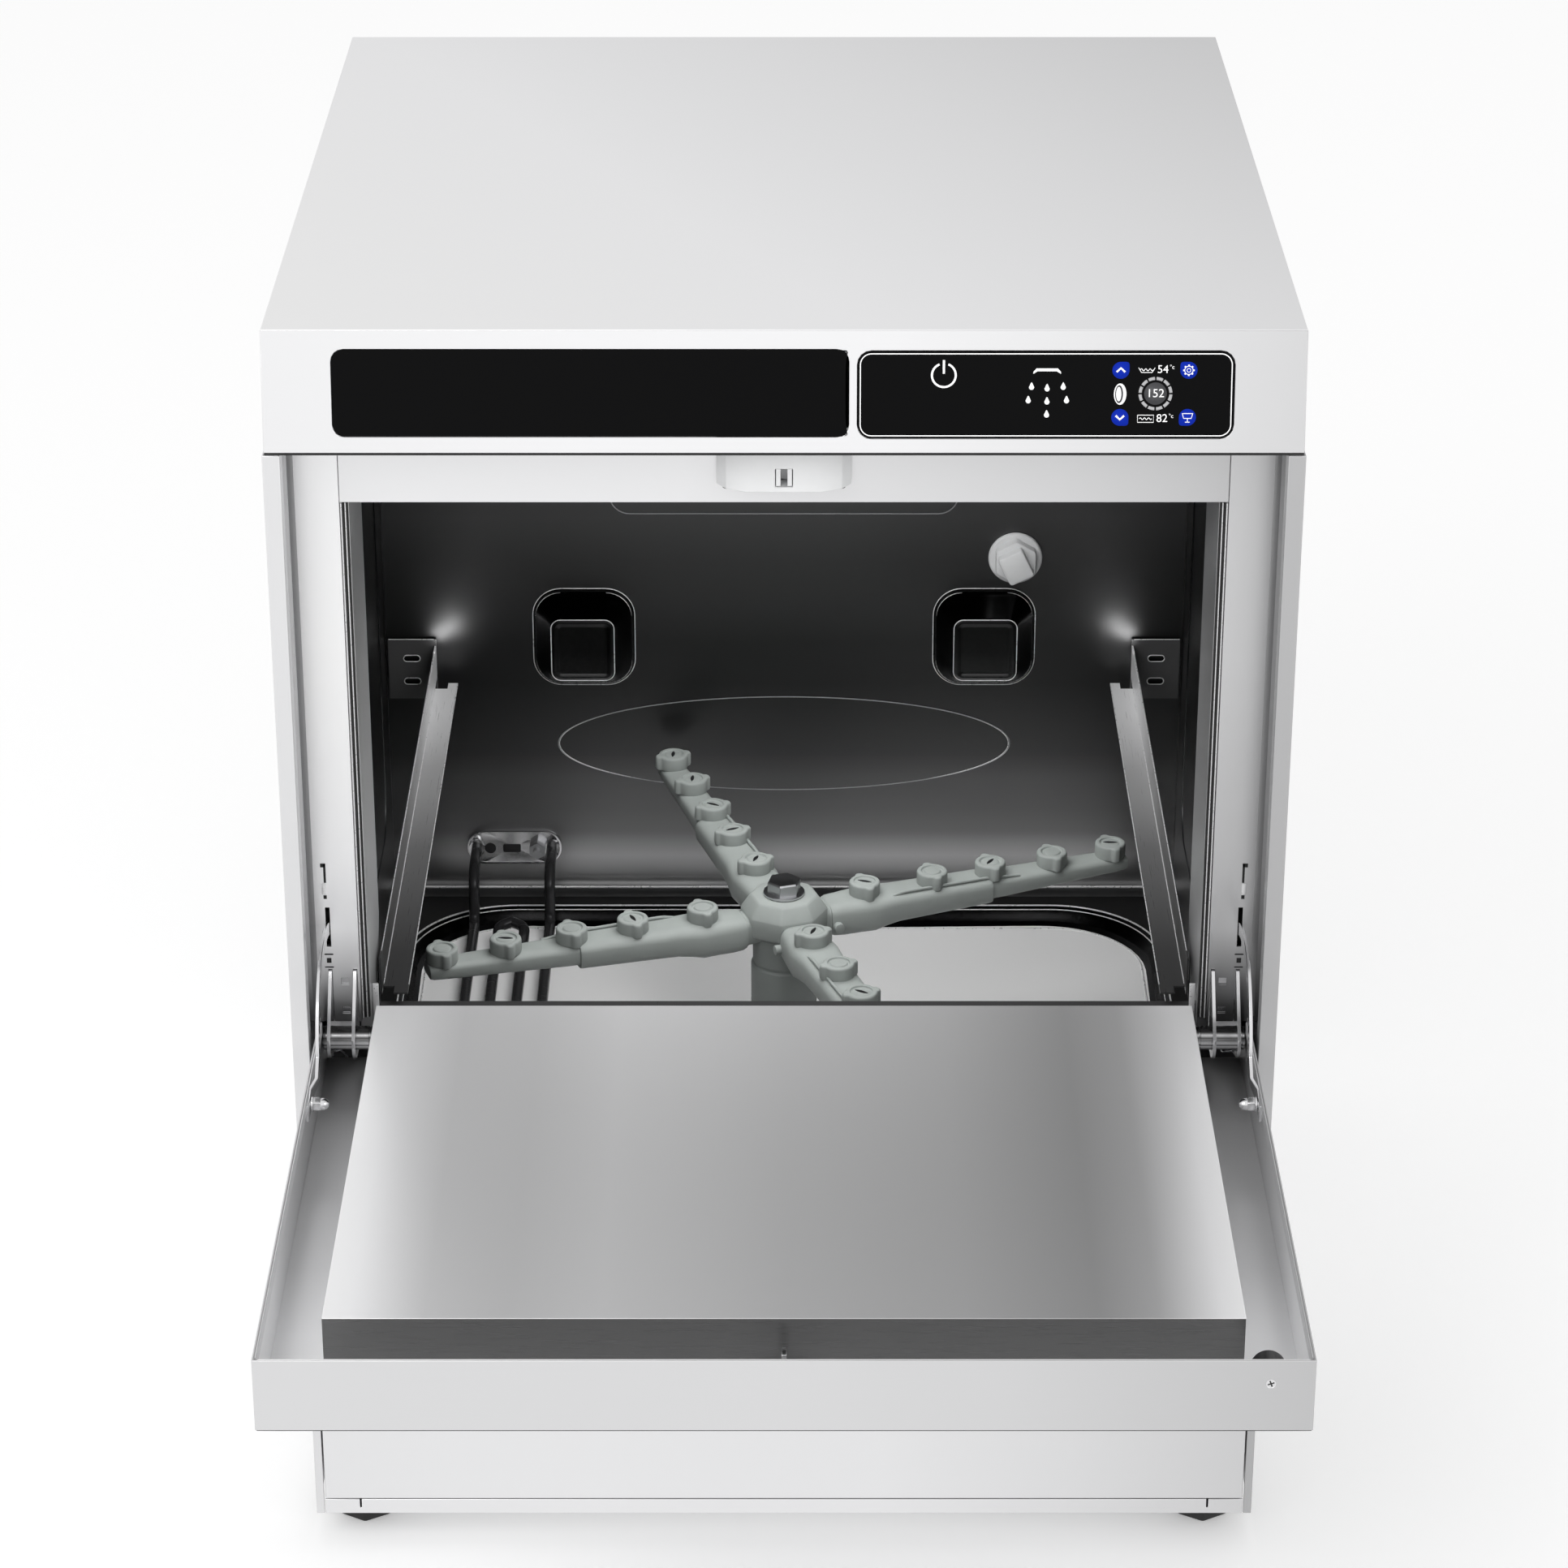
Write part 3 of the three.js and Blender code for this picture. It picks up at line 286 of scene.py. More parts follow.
def tube(path, radius, count=12, reference=(0.31, 0.22, 0.93)):
    """Round tube along a path: at each point the circle lies square to the path's direction. Its
    first axis is the reference direction with its part along the path taken away."""
    path = np.asarray(path, float)
    along = np.gradient(path, axis=0)
    along /= np.linalg.norm(along, axis=1, keepdims=True)
    reference = np.array(reference, float)
    first = reference - (along @ reference)[:, None] * along
    first /= np.linalg.norm(first, axis=1, keepdims=True)
    second = np.cross(along, first)
    ring = circle(1, count)
    radius = np.broadcast_to(np.asarray(radius, float), len(path))[:, None, None]
    offset = ring[None, :, :1] * first[:, None] + ring[None, :, 1:] * second[:, None]
    return skin(path[:, None] + radius * offset)


def eased_path(points, bend, count=7):
    """Polyline with its corners eased: each inner corner becomes a quadratic curve that starts and
    ends `bend` away from it."""
    points = np.asarray(points, float)
    corner, before, after = points[1:-1], points[:-2], points[2:]
    to_before, to_after = before - corner, after - corner
    reach_before, reach_after = (np.linalg.norm(v, axis=1, keepdims=True) for v in (to_before, to_after))
    bend = np.minimum(np.broadcast_to(np.asarray(bend, float).reshape(-1, 1), reach_before.shape),
                      0.49 * np.minimum(reach_before, reach_after))
    start = corner + bend * to_before / reach_before
    end = corner + bend * to_after / reach_after
    t = np.linspace(0, 1, count)[None, :, None]
    curve = (1 - t) ** 2 * start[:, None] + 2 * t * (1 - t) * corner[:, None] + t ** 2 * end[:, None]
    return np.vstack([points[:1], curve.reshape(-1, points.shape[1]), points[-1:]])


def bead(loop, radius, count=8, reference=(0, 1, 0), closed=True):
    """Thin round bead along a loop of points, closed on itself unless told otherwise."""
    loop = np.asarray(loop, float)
    if closed:
        along = np.roll(loop, -1, axis=0) - np.roll(loop, 1, axis=0)
    else:
        along = np.gradient(loop, axis=0)
    along /= np.linalg.norm(along, axis=1, keepdims=True)
    first = np.broadcast_to(np.array(reference, float), along.shape)
    second = np.cross(along, first)
    ring = circle(radius, count)
    points = loop[:, None] + ring[None, :, :1] * first[:, None] + ring[None, :, 1:] * second[:, None]
    if not closed:
        return skin(points)
    wrapped = np.concatenate([points, points[:1]])
    flat, faces = skin(wrapped, caps=False)
    total = len(loop) * count
    return flat[:total], [[index % total for index in face] for face in faces]


print("surface helpers ready")

# %% [markdown]
# ## Folded sheet
# The sheet-metal solids have the right shape, with their slots and folds, but knife-sharp edges
# that catch no light. A copy of each is merged back into whole faces, and a Bevel modifier rounds
# every fold by a fraction of a millimetre. That thin bright line is what makes steel look folded.

# %% [markdown]
# One sheet can carry two finishes. A face is picked by where its centre lies and which way it looks,
# and it takes the last material on the list.

# %% A second finish on some faces
def paint(piece, material, chosen):
    """Gives the faces that `chosen` picks another finish. It gets the faces' centres in cabinet
    millimetres and their normals, both arrays of (count, 3), and returns a mask."""
    mesh = piece.data
    centre, normal = np.empty(len(mesh.polygons) * 3), np.empty(len(mesh.polygons) * 3)
    index = np.empty(len(mesh.polygons), int)
    mesh.polygons.foreach_get("center", centre)
    mesh.polygons.foreach_get("normal", normal)
    mesh.polygons.foreach_get("material_index", index)
    centre = (centre.reshape(-1, 3) - np.array([0, FRONT, 0])) * 1000
    mesh.materials.append(material)
    index[chosen(centre, normal.reshape(-1, 3))] = len(mesh.materials) - 1
    mesh.polygons.foreach_set("material_index", index)
    return piece


# %% Softening a sheet
def soften(node, material, body, width=0.4, segments=2, angle=28):
    """Copy of a CAD node with doubles merged, flat faces dissolved and folds rounded."""
    source = frame["nodes"][node].data
    corners = np.empty(len(source.vertices) * 3)
    source.vertices.foreach_get("co", corners)
    loops = [list(face.vertices) for face in source.polygons]
    mesh = bpy.data.meshes.new(node + "_sheet")
    mesh.from_pydata(corners.reshape(-1, 3).tolist(), [], loops)
    work = bmesh.new()
    work.from_mesh(mesh)
    bmesh.ops.remove_doubles(work, verts=work.verts, dist=2e-6)
    bmesh.ops.dissolve_limit(work, angle_limit=math.radians(1.0), verts=work.verts, edges=work.edges)
    work.to_mesh(mesh)
    work.free()
    mesh.shade_smooth()
    mesh.set_sharp_from_angle(angle=math.radians(45))
    piece = bpy.data.objects.new(node + "_sheet", mesh)
    bpy.context.collection.objects.link(piece)
    fold = piece.modifiers.new("folds", "BEVEL")
    fold.width, fold.segments = width / 1000, segments
    fold.limit_method, fold.angle_limit = "ANGLE", math.radians(angle)
    fold.use_clamp_overlap = True
    return settle(piece, material, body, [node])


print("folds will be rounded by bevels")

# %% [markdown]
# ## Finishes
# The outside is fine-brushed stainless, so light that it scatters almost white. The chamber is
# the same metal, its colour painted far darker: painted shade for the dark of its own box. A brushed
# grain is noise squeezed hard along one axis: it nudges the roughness and gives a bump of a few
# micrometres. The same recipe with other numbers makes the polished, galvanised and sooty metals.

# %% Material helpers
def new_material(name, colour, roughness, metallic, **more):
    """Principled material; further sockets are set by name, with spaces as underscores."""
    material = bpy.data.materials.new(name)
    material.use_nodes = True
    shader = material.node_tree.nodes["Principled BSDF"]
    shader.inputs["Base Color"].default_value = (*colour, 1)
    shader.inputs["Roughness"].default_value = roughness
    shader.inputs["Metallic"].default_value = metallic
    for key, value in more.items():
        shader.inputs[key.replace("_", " ")].default_value = value
    return material


def noise(material, scale, detail=4.0, stretch=(1, 1, 1), rough=0.6):
    """Noise on Object coordinates; a large stretch number squeezes the grain across that axis."""
    nodes, links = material.node_tree.nodes, material.node_tree.links
    coordinate = nodes.new("ShaderNodeTexCoord")
    mapping = nodes.new("ShaderNodeMapping")
    mapping.inputs["Scale"].default_value = stretch
    texture = nodes.new("ShaderNodeTexNoise")
    texture.inputs["Scale"].default_value = scale
    texture.inputs["Detail"].default_value = detail
    texture.inputs["Roughness"].default_value = rough
    links.new(coordinate.outputs["Object"], mapping.inputs["Vector"])
    links.new(mapping.outputs[0], texture.inputs["Vector"])
    return texture.outputs["Fac"]


def vary_roughness(material, source, low, high):
    """Roughness that follows a texture between two values."""
    nodes, links = material.node_tree.nodes, material.node_tree.links
    mapped = nodes.new("ShaderNodeMapRange")
    mapped.inputs["From Min"].default_value = 0.3
    mapped.inputs["From Max"].default_value = 0.7
    mapped.inputs["To Min"].default_value = low
    mapped.inputs["To Max"].default_value = high
    links.new(source, mapped.inputs["Value"])
    links.new(mapped.outputs[0], nodes["Principled BSDF"].inputs["Roughness"])


def vary_colour(material, source, dark, light, start=0.3, end=0.7):
    """Base colour that follows a texture from a dark to a light tone."""
    nodes, links = material.node_tree.nodes, material.node_tree.links
    ramp = nodes.new("ShaderNodeValToRGB")
    ramp.color_ramp.elements[0].position, ramp.color_ramp.elements[0].color = start, (*dark, 1)
    ramp.color_ramp.elements[1].position, ramp.color_ramp.elements[1].color = end, (*light, 1)
    links.new(source, ramp.inputs[0])
    links.new(ramp.outputs[0], nodes["Principled BSDF"].inputs["Base Color"])


def bump(material, source, height, strength=1.0):
    """Bump of the given height in millimetres."""
    nodes, links = material.node_tree.nodes, material.node_tree.links
    relief = nodes.new("ShaderNodeBump")
    relief.inputs["Strength"].default_value = strength
    relief.inputs["Distance"].default_value = height / 1000
    links.new(source, relief.inputs["Height"])
    links.new(relief.outputs[0], nodes["Principled BSDF"].inputs["Normal"])


def brushed(name, colour, roughness, metallic=1.0, grain=(2, 260, 260), spread=0.05, relief=0.004,
            tint=0.04):
    """Brushed metal: squeezed noise drives roughness and bump, broad noise tints it slightly."""
    material = new_material(name, colour, roughness, metallic)
    fine = noise(material, 6.0, 3.0, grain)
    vary_roughness(material, fine, roughness - spread, roughness + spread)
    bump(material, fine, relief, 0.6)
    cloud = noise(material, 5.0, 3.0)
    tone = np.array(colour)
    vary_colour(material, cloud, tuple(tone * (1 - tint)), tuple(np.minimum(tone * (1 + tint), 1)))
    return material


# %% [markdown]
# A large flat sheet mirrors a room that is brighter on one side. The function below paints that
# change into the finish's colour, as painted reflection and painted shade: the place of a point along
# a direction is a dot product, which a colour ramp turns into a tone between the stops.

# %% Metals
def painted_shading(material, direction, stops):
    """Painted light and shade: a tone that changes along a direction of the machine. A place's
    value is its dot product with the direction, in millimetres, and `stops` are (value, tone)."""
    nodes, links = material.node_tree.nodes, material.node_tree.links
    coordinate = nodes.new("ShaderNodeTexCoord")
    along = nodes.new("ShaderNodeVectorMath")
    scale = nodes.new("ShaderNodeMapRange")
    ramp = nodes.new("ShaderNodeValToRGB")
    along.operation = "DOT_PRODUCT"
    along.inputs[1].default_value = direction
    start, end = stops[0][0], stops[-1][0]
    shift = FRONT * direction[1]
    scale.inputs["From Min"].default_value = start / 1000 + shift
    scale.inputs["From Max"].default_value = end / 1000 + shift
    for place, _ in stops[1:-1]:
        ramp.color_ramp.elements.new((place - start) / (end - start))
    for element, (_, tone) in zip(ramp.color_ramp.elements, stops):
        element.color = (tone, tone, min(tone * 1.01, 1), 1)
    links.new(coordinate.outputs["Object"], along.inputs[0])
    links.new(along.outputs["Value"], scale.inputs["Value"])
    links.new(scale.outputs[0], ramp.inputs[0])
    links.new(ramp.outputs[0], nodes["Principled BSDF"].inputs["Base Color"])
    return material


ACROSS, BACKWARDS, UPWARDS = np.eye(3).tolist()
OUTER_TONE, FRAME_TONE = (0.88, 0.88, 0.883), (0.82, 0.82, 0.825)
SATIN = dict(metallic=0.75, relief=0.0015, spread=0.03, tint=0.012)
# painted reflection: the outer sheets' tone is darker towards the right and a little at the far left
satin = brushed("satin_stainless", OUTER_TONE, 0.40, grain=(4, 420, 420), **SATIN)
painted_shading(satin, ACROSS, [(-300, 0.83), (-120, 0.88), (60, 0.88), (180, 0.79), (300, 0.67)])
# painted shade: the door front is a darker copy of the outer steel, darker again towards the right
door_satin = brushed("door_stainless", OUTER_TONE, 0.40, grain=(4, 420, 420), **SATIN)
painted_shading(door_satin, ACROSS, [(-300, 0.73), (0, 0.72), (120, 0.68), (300, 0.55)])
# painted reflection: the hood is lightest at the front left and darker towards the back right
satin_hood = brushed("hood_stainless", OUTER_TONE, 0.40, grain=(4, 420, 420), **SATIN)
painted_shading(satin_hood, (1, 0.55, 0), [(-300, 1.0), (60, 0.98), (330, 0.88), (640, 0.74)])
# painted shade: the right side panel is a much darker copy; both sides lighten towards the back and top
side_satin = {side: brushed(f"satin_stainless_{side}", OUTER_TONE, 0.40, grain=(420, 420, 4), **SATIN)
              for side in ("left", "right")}
painted_shading(side_satin["left"], (0, 1, 0.25), [(0, 0.78), (190, 0.80), (330, 0.88), (760, 0.90)])
painted_shading(side_satin["right"], (0, 1, 0.25), [(0, 0.47), (190, 0.52), (330, 0.80), (760, 0.88)])
# painted shade: the jambs turn dark low down near the hinge, and the right jamb is a darker copy
jamb_steel = {side: brushed(f"jamb_stainless_{side}", FRAME_TONE, 0.32, grain=(420, 420, 4), **SATIN)
              for side in ("left", "right")}
painted_shading(jamb_steel["left"], UPWARDS, [(336, 0.07), (360, 0.30), (384, 0.68), (420, 0.96), (600, 1.0),
                                   (748, 0.98)])
painted_shading(jamb_steel["right"], UPWARDS, [(336, 0.03), (360, 0.12), (384, 0.28), (420, 0.58), (600, 0.66),
                                    (748, 0.66)])
# painted reflection: the top rail darkens towards the right
lintel_steel = brushed("lintel_stainless", FRAME_TONE, 0.32, grain=(4, 420, 420), **SATIN)
painted_shading(lintel_steel, ACROSS, [(-280, 0.90), (-60, 0.89), (60, 0.80), (160, 0.72), (280, 0.58)])
# painted reflection: the liner is bright at both edges and darker in the middle, darkest right of it
liner_steel = brushed("liner_stainless", (0.74, 0.74, 0.745), 0.34, 0.45, grain=(60, 300, 300),
                      relief=0.0006, spread=0.02, tint=0.01)
painted_shading(liner_steel, ACROSS, [(-264, 1.0), (-236, 0.98), (-196, 0.74), (-150, 0.70), (-100, 0.76), (0, 0.61),
                           (98, 0.53), (172, 0.40), (205, 0.50), (240, 0.90), (264, 1.0)])
# painted shade: the chamber's steel is dark, lighter just above the tank and darkest under the ceiling
chamber_steel = brushed("chamber_stainless", (0.2, 0.2, 0.205), 0.34, grain=(90, 90, 90), relief=0.0005,
                        spread=0.02, tint=0.02)
painted_shading(chamber_steel, UPWARDS, [(176, 0.16), (192, 0.34), (235, 0.26), (300, 0.11), (400, 0.038),
                              (520, 0.016), (745, 0.008)])
# and lighter again higher up
# painted shade with a painted highlight: the back wall is bright low at its bend, darkest near 350 mm,
wall_steel = brushed("wall_stainless", (0.2, 0.2, 0.205), 0.34, grain=(90, 90, 90), relief=0.0005,
                     spread=0.02, tint=0.02)
painted_shading(wall_steel, UPWARDS, [(176, 0.24), (205, 0.56), (224, 0.25), (243, 0.20), (269, 0.17), (288, 0.11),
                           (345, 0.07), (377, 0.075), (409, 0.11), (441, 0.14), (475, 0.19), (745, 0.22)])
# painted shade: the tank's ledge is dark and darker towards the back
ledge_steel = brushed("ledge_stainless", (0.1, 0.1, 0.1), 0.3, 0.9, grain=(90, 90, 90), relief=0.0005,
                      spread=0.02)
painted_shading(ledge_steel, BACKWARDS, [(60, 0.20), (300, 0.10), (540, 0.035), (590, 0.02)])
# painted shade: the recess slope of the tank is near black
recess_steel = brushed("recess_stainless", (0.05, 0.05, 0.051), 0.22, grain=(60, 60, 60), relief=0.0005,
                       tint=0.05)
# painted shade: the door's tray is light at the door's free end and dark near the hinge
tray_steel = brushed("tray_stainless", (0.5, 0.5, 0.505), 0.32, 0.6, grain=(90, 90, 90), relief=0.0005,
                     spread=0.02)
painted_shading(tray_steel, BACKWARDS, [(-364, 1.0), (-270, 0.97), (-200, 0.78), (-100, 0.62), (-50, 0.55),
                             (0, 0.44), (50, 0.22)])
# painted shade: the liner's forward-facing wall is a dark copy of its steel
liner_front = brushed("liner_front_stainless", (0.26, 0.26, 0.262), 0.3, 0.9, grain=(4, 300, 300),
                      relief=0.001)
shade_steel = brushed("shaded_stainless", (0.12, 0.12, 0.122), 0.3, 0.6, grain=(400, 400, 400),
                      relief=0.0002, spread=0.01)
fold_shade = brushed("fold_shade", (0.34, 0.34, 0.345), 0.4, 0.7, grain=(300, 300, 8), relief=0.0005,
                     spread=0.02)
# painted light: the tank's floor is a near-white, barely metallic copy of the chamber's dark steel
tank_steel = brushed("tank_stainless", (0.98, 0.98, 0.98), 0.30, 0.25, grain=(90, 90, 90), relief=0.0005,
                     spread=0.02, tint=0.02)
# painted shade: the rails and the sill are dark at the front and light towards the back
rail_steel = brushed("rail_stainless", (0.46, 0.46, 0.465), 0.30, 0.35, grain=(300, 4, 300), relief=0.001,
                     spread=0.03)
painted_shading(rail_steel, BACKWARDS, [(60, 0.06), (150, 0.07), (300, 0.17), (430, 0.42), (520, 0.80), (590, 0.98)])
# painted highlights: bright thin pieces laid along folds and rims of the darker rails, bosses, wall and
# tank
hairline = brushed("bright_fold", (0.85, 0.85, 0.855), 0.3, 0.5, grain=(60, 60, 60), relief=0.0005)
# painted reflection: bright and dark stripes run along the hinge shafts
round_bar = brushed("turned_bar", (0.6, 0.6, 0.6), 0.16, 0.85, grain=(500, 10, 10), relief=0.0005)
painted_shading(round_bar, UPWARDS, [(346.4, 0.02), (348.4, 0.10), (349.4, 0.75), (351.2, 0.90), (352.2, 0.12),
                          (353.4, 0.85),
                      (355.4, 0.30), (357, 0.06), (358.4, 0.55), (359.6, 0.05), (361.2, 0.02)])
bright_steel = brushed("bright_steel", (0.80, 0.80, 0.81), 0.18, grain=(60, 60, 60), relief=0.0002,
                       spread=0.02)
zinc = brushed("zinc_plate", (0.66, 0.665, 0.68), 0.42, grain=(160, 160, 160), spread=0.05, tint=0.05,
               relief=0.004)
sheath = brushed("heater_sheath", (0.045, 0.045, 0.047), 0.24, 0.6, grain=(4, 90, 4), spread=0.04,
                 relief=0.02, tint=0.1)
spring_wire = brushed("spring_wire", (0.55, 0.55, 0.57), 0.25, grain=(40, 40, 40))
cast = brushed("cast_aluminium", (0.62, 0.62, 0.63), 0.5, grain=(14, 14, 14), relief=0.05)
print("metals:", len(bpy.data.materials))


# %% [markdown]
# Plastics have no direction in their grain. Glass is near black and smooth, and an ink is one flat
# colour with a faint unevenness.

# %% Plastics, rubber, glass and inks
def moulded(name, colour, roughness, grain=900, relief=0.02, tint=0.06):
    """Moulded plastic: a fine sparkle-free grain in the bump and a slight unevenness of tone."""
    material = new_material(name, colour, roughness, 0.0)
    fine = noise(material, grain, 2.0)
    bump(material, fine, relief, 0.5)
    tone = np.array(colour)
    cloud = noise(material, 30, 4.0)
    vary_colour(material, cloud, tuple(tone * (1 - tint)), tuple(np.minimum(tone * (1 + tint), 1)))
    vary_roughness(material, cloud, roughness - 0.06, roughness + 0.06)
    return material


arm_plastic = moulded("arm_plastic", (0.31, 0.335, 0.322), 0.5)
column_plastic = moulded("column_plastic", (0.24, 0.26, 0.25), 0.5)
pale_plastic = moulded("pale_plastic", (0.80, 0.805, 0.81), 0.42, relief=0.008, tint=0.03)
fitting_plastic = moulded("fitting_plastic", (0.50, 0.505, 0.51), 0.45)
black_plastic = moulded("black_plastic", (0.012, 0.012, 0.013), 0.42, relief=0.01)
rubber = moulded("foot_rubber", (0.012, 0.012, 0.012), 0.7)
laminate = moulded("board_laminate", (0.02, 0.12, 0.05), 0.4)
black_glass = new_material("black_glass", (0.0015, 0.0015, 0.0017), 0.07, 0.0, Specular_IOR_Level=0.08)
vary_roughness(black_glass, noise(black_glass, 9, 3.0), 0.05, 0.10)
# painted light: the white ink also glows a little through its emission
white_ink = new_material("white_ink", (0.92, 0.92, 0.92), 0.5, 0.0, Emission_Strength=0.25)
white_ink.node_tree.nodes["Principled BSDF"].inputs["Emission Color"].default_value = (1, 1, 1, 1)
blue_ink = new_material("blue_ink", (0.003, 0.025, 0.42), 0.6, 0.0, Specular_IOR_Level=0.1)
grey_ink = new_material("grey_ink", (0.055, 0.055, 0.06), 0.45, 0.0)
pale_ink = new_material("pale_ink", (0.45, 0.45, 0.46), 0.5, 0.0)
for ink in (white_ink, blue_ink, grey_ink, pale_ink):
    shade = np.array(ink.node_tree.nodes["Principled BSDF"].inputs["Base Color"].default_value[:3])
    vary_colour(ink, noise(ink, 60, 2.0), tuple(shade * 0.94), tuple(shade))
print("all finishes:", len(bpy.data.materials))

# %% [markdown]
# ## The solids that stay
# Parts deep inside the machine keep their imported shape. Each takes the material of its slot in the
# machine's record, so that no piece is left in plain grey.

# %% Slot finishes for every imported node
SLOT_FINISH = {
    "stainless": satin, "chamber_steel": chamber_steel, "galvanised": zinc, "black_glass": black_glass,
    "nozzle_plastic": arm_plastic, "column_plastic": column_plastic, "light_plastic": pale_plastic,
    "black_plastic": black_plastic, "foot_rubber": rubber, "heater_steel": sheath,
    "spring_steel": spring_wire, "aluminium": cast, "circuit_board": laminate,
}
for entry in frame["record"]["subparts"]:
    mesh = frame["nodes"][entry["node"]].data
    mesh.materials.clear()
    mesh.materials.append(SLOT_FINISH[entry["material_slot"]])

# %% [markdown]
# ## Cabinet
# Side panels, hood, fascia, service panel and base are thin folded sheets, so each is softened.
# The grain of the upright sheets runs up and down; on the hood it runs from side to side.

# %% Outer sheets
for side in ("left", "right"):
    soften(f"side_panel_{side}", side_satin[side], "cabinet", 0.45)
soften("top_cover", satin_hood, "cabinet", 0.5)
soften("control_fascia", satin, "cabinet", 0.35)
soften("lower_service_panel", satin, "cabinet", 0.45)
soften("base_frame", satin, "cabinet", 0.4)
soften("back_panel", zinc, "cabinet", 0.3)
print("cabinet sheets softened")


# %% [markdown]
# The feet are black hexagons with a slightly drawn-in foot and a chamfered shoulder, screwed into
# the base. A rounded hexagon is stacked at a few heights: one function makes all four.

# %% Feet
def foot_surface(node):
    """Hexagon stacked from the sole to the shoulder, then the round stem above it."""
    low, high = span(node)
    centre = ((low[0] + high[0]) / 2, (low[1] + high[1]) / 2, 0)
    radius = (high[1] - low[1]) / 2
    outline = polygon(1, 6, 0.1, turn=np.pi / 2)
    pad = stack(outline * radius, [(0.9, 0), (0.94, 0.7), (0.96, 6), (1.0, 10), (1.0, 13.2), (0.97, 14.2),
                                   (0.5, 14.4)],
                centre=centre)
    stem = lathe([(9, 13), (9, high[2] - 0.4), (8.6, high[2])], centre=centre, count=28)
    return together(pad, stem)


for row in ("front", "rear"):
    for side in ("left", "right"):
        node = f"foot_{row}_{side}"
        make(node + "_moulding", foot_surface(node), rubber, "cabinet", [node])
print("four feet stand on the floor")

# %% [markdown]
# ## Fascia: glass strip, touch panel and its prints
# The fascia leans back, so its pieces are drawn flat, u across and v up the slope, and then tipped
# onto the slope. The strip's right end flares into its corners, as if it were cut by a concave
# arc. The touch panel carries a thin white outline and its symbols, printed as thin flat shapes.

# %% The sloping plane
_, hood_high = span("top_cover")
SLOPE_FOOT = 750.0
MARK_RISE = 0.6
LEAN = math.atan2(11.4, hood_high[2] - SLOPE_FOOT)


def on_slope(points, depth):
    """Points (u, v) and a depth outwards to cabinet millimetres on the leaning fascia."""
    points = np.asarray(points, float)
    depth = np.broadcast_to(np.asarray(depth, float), points.shape[:-1])
    y = points[..., 1] * math.sin(LEAN) - depth * math.cos(LEAN)
    z = SLOPE_FOOT + points[..., 1] * math.cos(LEAN) + depth * math.sin(LEAN)
    return np.stack([points[..., 0], y, z], axis=-1)


STRIP_PLACE = (-258.7, 37.0, 9.4, 60.0)
TOUCH_PLACE = (42.0, 257.5, 8.4, 59.2)


def pane(outline):
    """Pane of glass from an outline: back face, front face and a small rounded arris between."""
    outline = np.asarray(outline, float)
    middle = (outline.max(axis=0) + outline.min(axis=0)) / 2
    half = np.ptp(outline, axis=0) / 2
    rings = [on_slope(middle + (outline - middle) * (1 - inset / half), depth)
             for inset, depth in ((0, -2.0), (0, -0.25), (0.1, -0.07), (0.3, 0.0))]
    return skin(rings)


def flared_strip(u0, u1, v0, v1, radius=7.0, sag=1.6, count=24):
    """Rectangle with round corners on the left; the right edge bows in by `sag` between two small
    round horns."""
    v = np.linspace(-1, 1, count)
    right = np.stack([u1 - 0.2 - sag * (1 - np.abs(v) ** 6), (v0 + v1) / 2 + v * ((v1 - v0) / 2 - 1.6)],
                     axis=-1)
    horn = np.linspace(0, np.pi / 2, 6)
    top = np.stack([u1 - 1.6 + 1.4 * np.cos(horn), v1 - 1.6 + 1.6 * np.sin(horn)], axis=-1)
    corner = np.linspace(np.pi / 2, np.pi, 9)
    upper = np.stack([u0 + radius + radius * np.cos(corner), v1 - radius + radius * np.sin(corner)],
                     axis=-1)
    lower = np.stack([u0 + radius + radius * np.cos(corner + np.pi / 2),
                      v0 + radius + radius * np.sin(corner + np.pi / 2)], axis=-1)
    bottom = np.stack([u1 - 1.6 + 1.4 * np.cos(horn - np.pi / 2),
                       v0 + 1.6 + 1.6 * np.sin(horn - np.pi / 2)], axis=-1)
    return np.vstack([right, top, upper, lower, bottom])


def centred(u0, u1, v0, v1, radius, inset=0.0):
    """Rounded rectangle between two u and two v values, shrunk all round by the inset."""
    outline = rounded_rect(u1 - u0 - 2 * inset, v1 - v0 - 2 * inset, radius - inset, 10)
    return outline + np.array([(u0 + u1) / 2, (v0 + v1) / 2])


make("strip_glass", pane(flared_strip(*STRIP_PLACE)), black_glass, "cabinet",
     ["fascia_glass"])
make("touch_glass", pane(centred(*TOUCH_PLACE, 8)), black_glass, "cabinet", ["touch_panel"])
print("glass set into the fascia")


# %% [markdown]
# Prints are patches of (u, v) points: rings, discs, strokes and drops. Each is raised by a few
# hundredths of a millimetre and given a little thickness, so the symbols are real geometry.

# %% Patches for prints
def ring_patch(centre, inner, outer, start=0.0, end=360.0, count=40):
    """Part of a flat ring between two angles in degrees."""
    angle = np.radians(np.linspace(start, end, count))
    direction = np.stack([np.cos(angle), np.sin(angle)], axis=-1)
    points = np.concatenate([inner * direction, outer * direction]) + np.array(centre)
    j = np.arange(count - 1)
    return points, np.stack([j, j + count, j + count + 1, j + 1], axis=-1).tolist()


def shape_patch(points):
    """Filled outline as one face."""
    points = np.asarray(points, float)
    return points, [list(range(len(points)))]


def disc_patch(centre, radius, count=32):
    """Filled circle; a pair of radii makes an ellipse."""
    return shape_patch(np.array(centre) + circle(1, count) * np.array(radius))


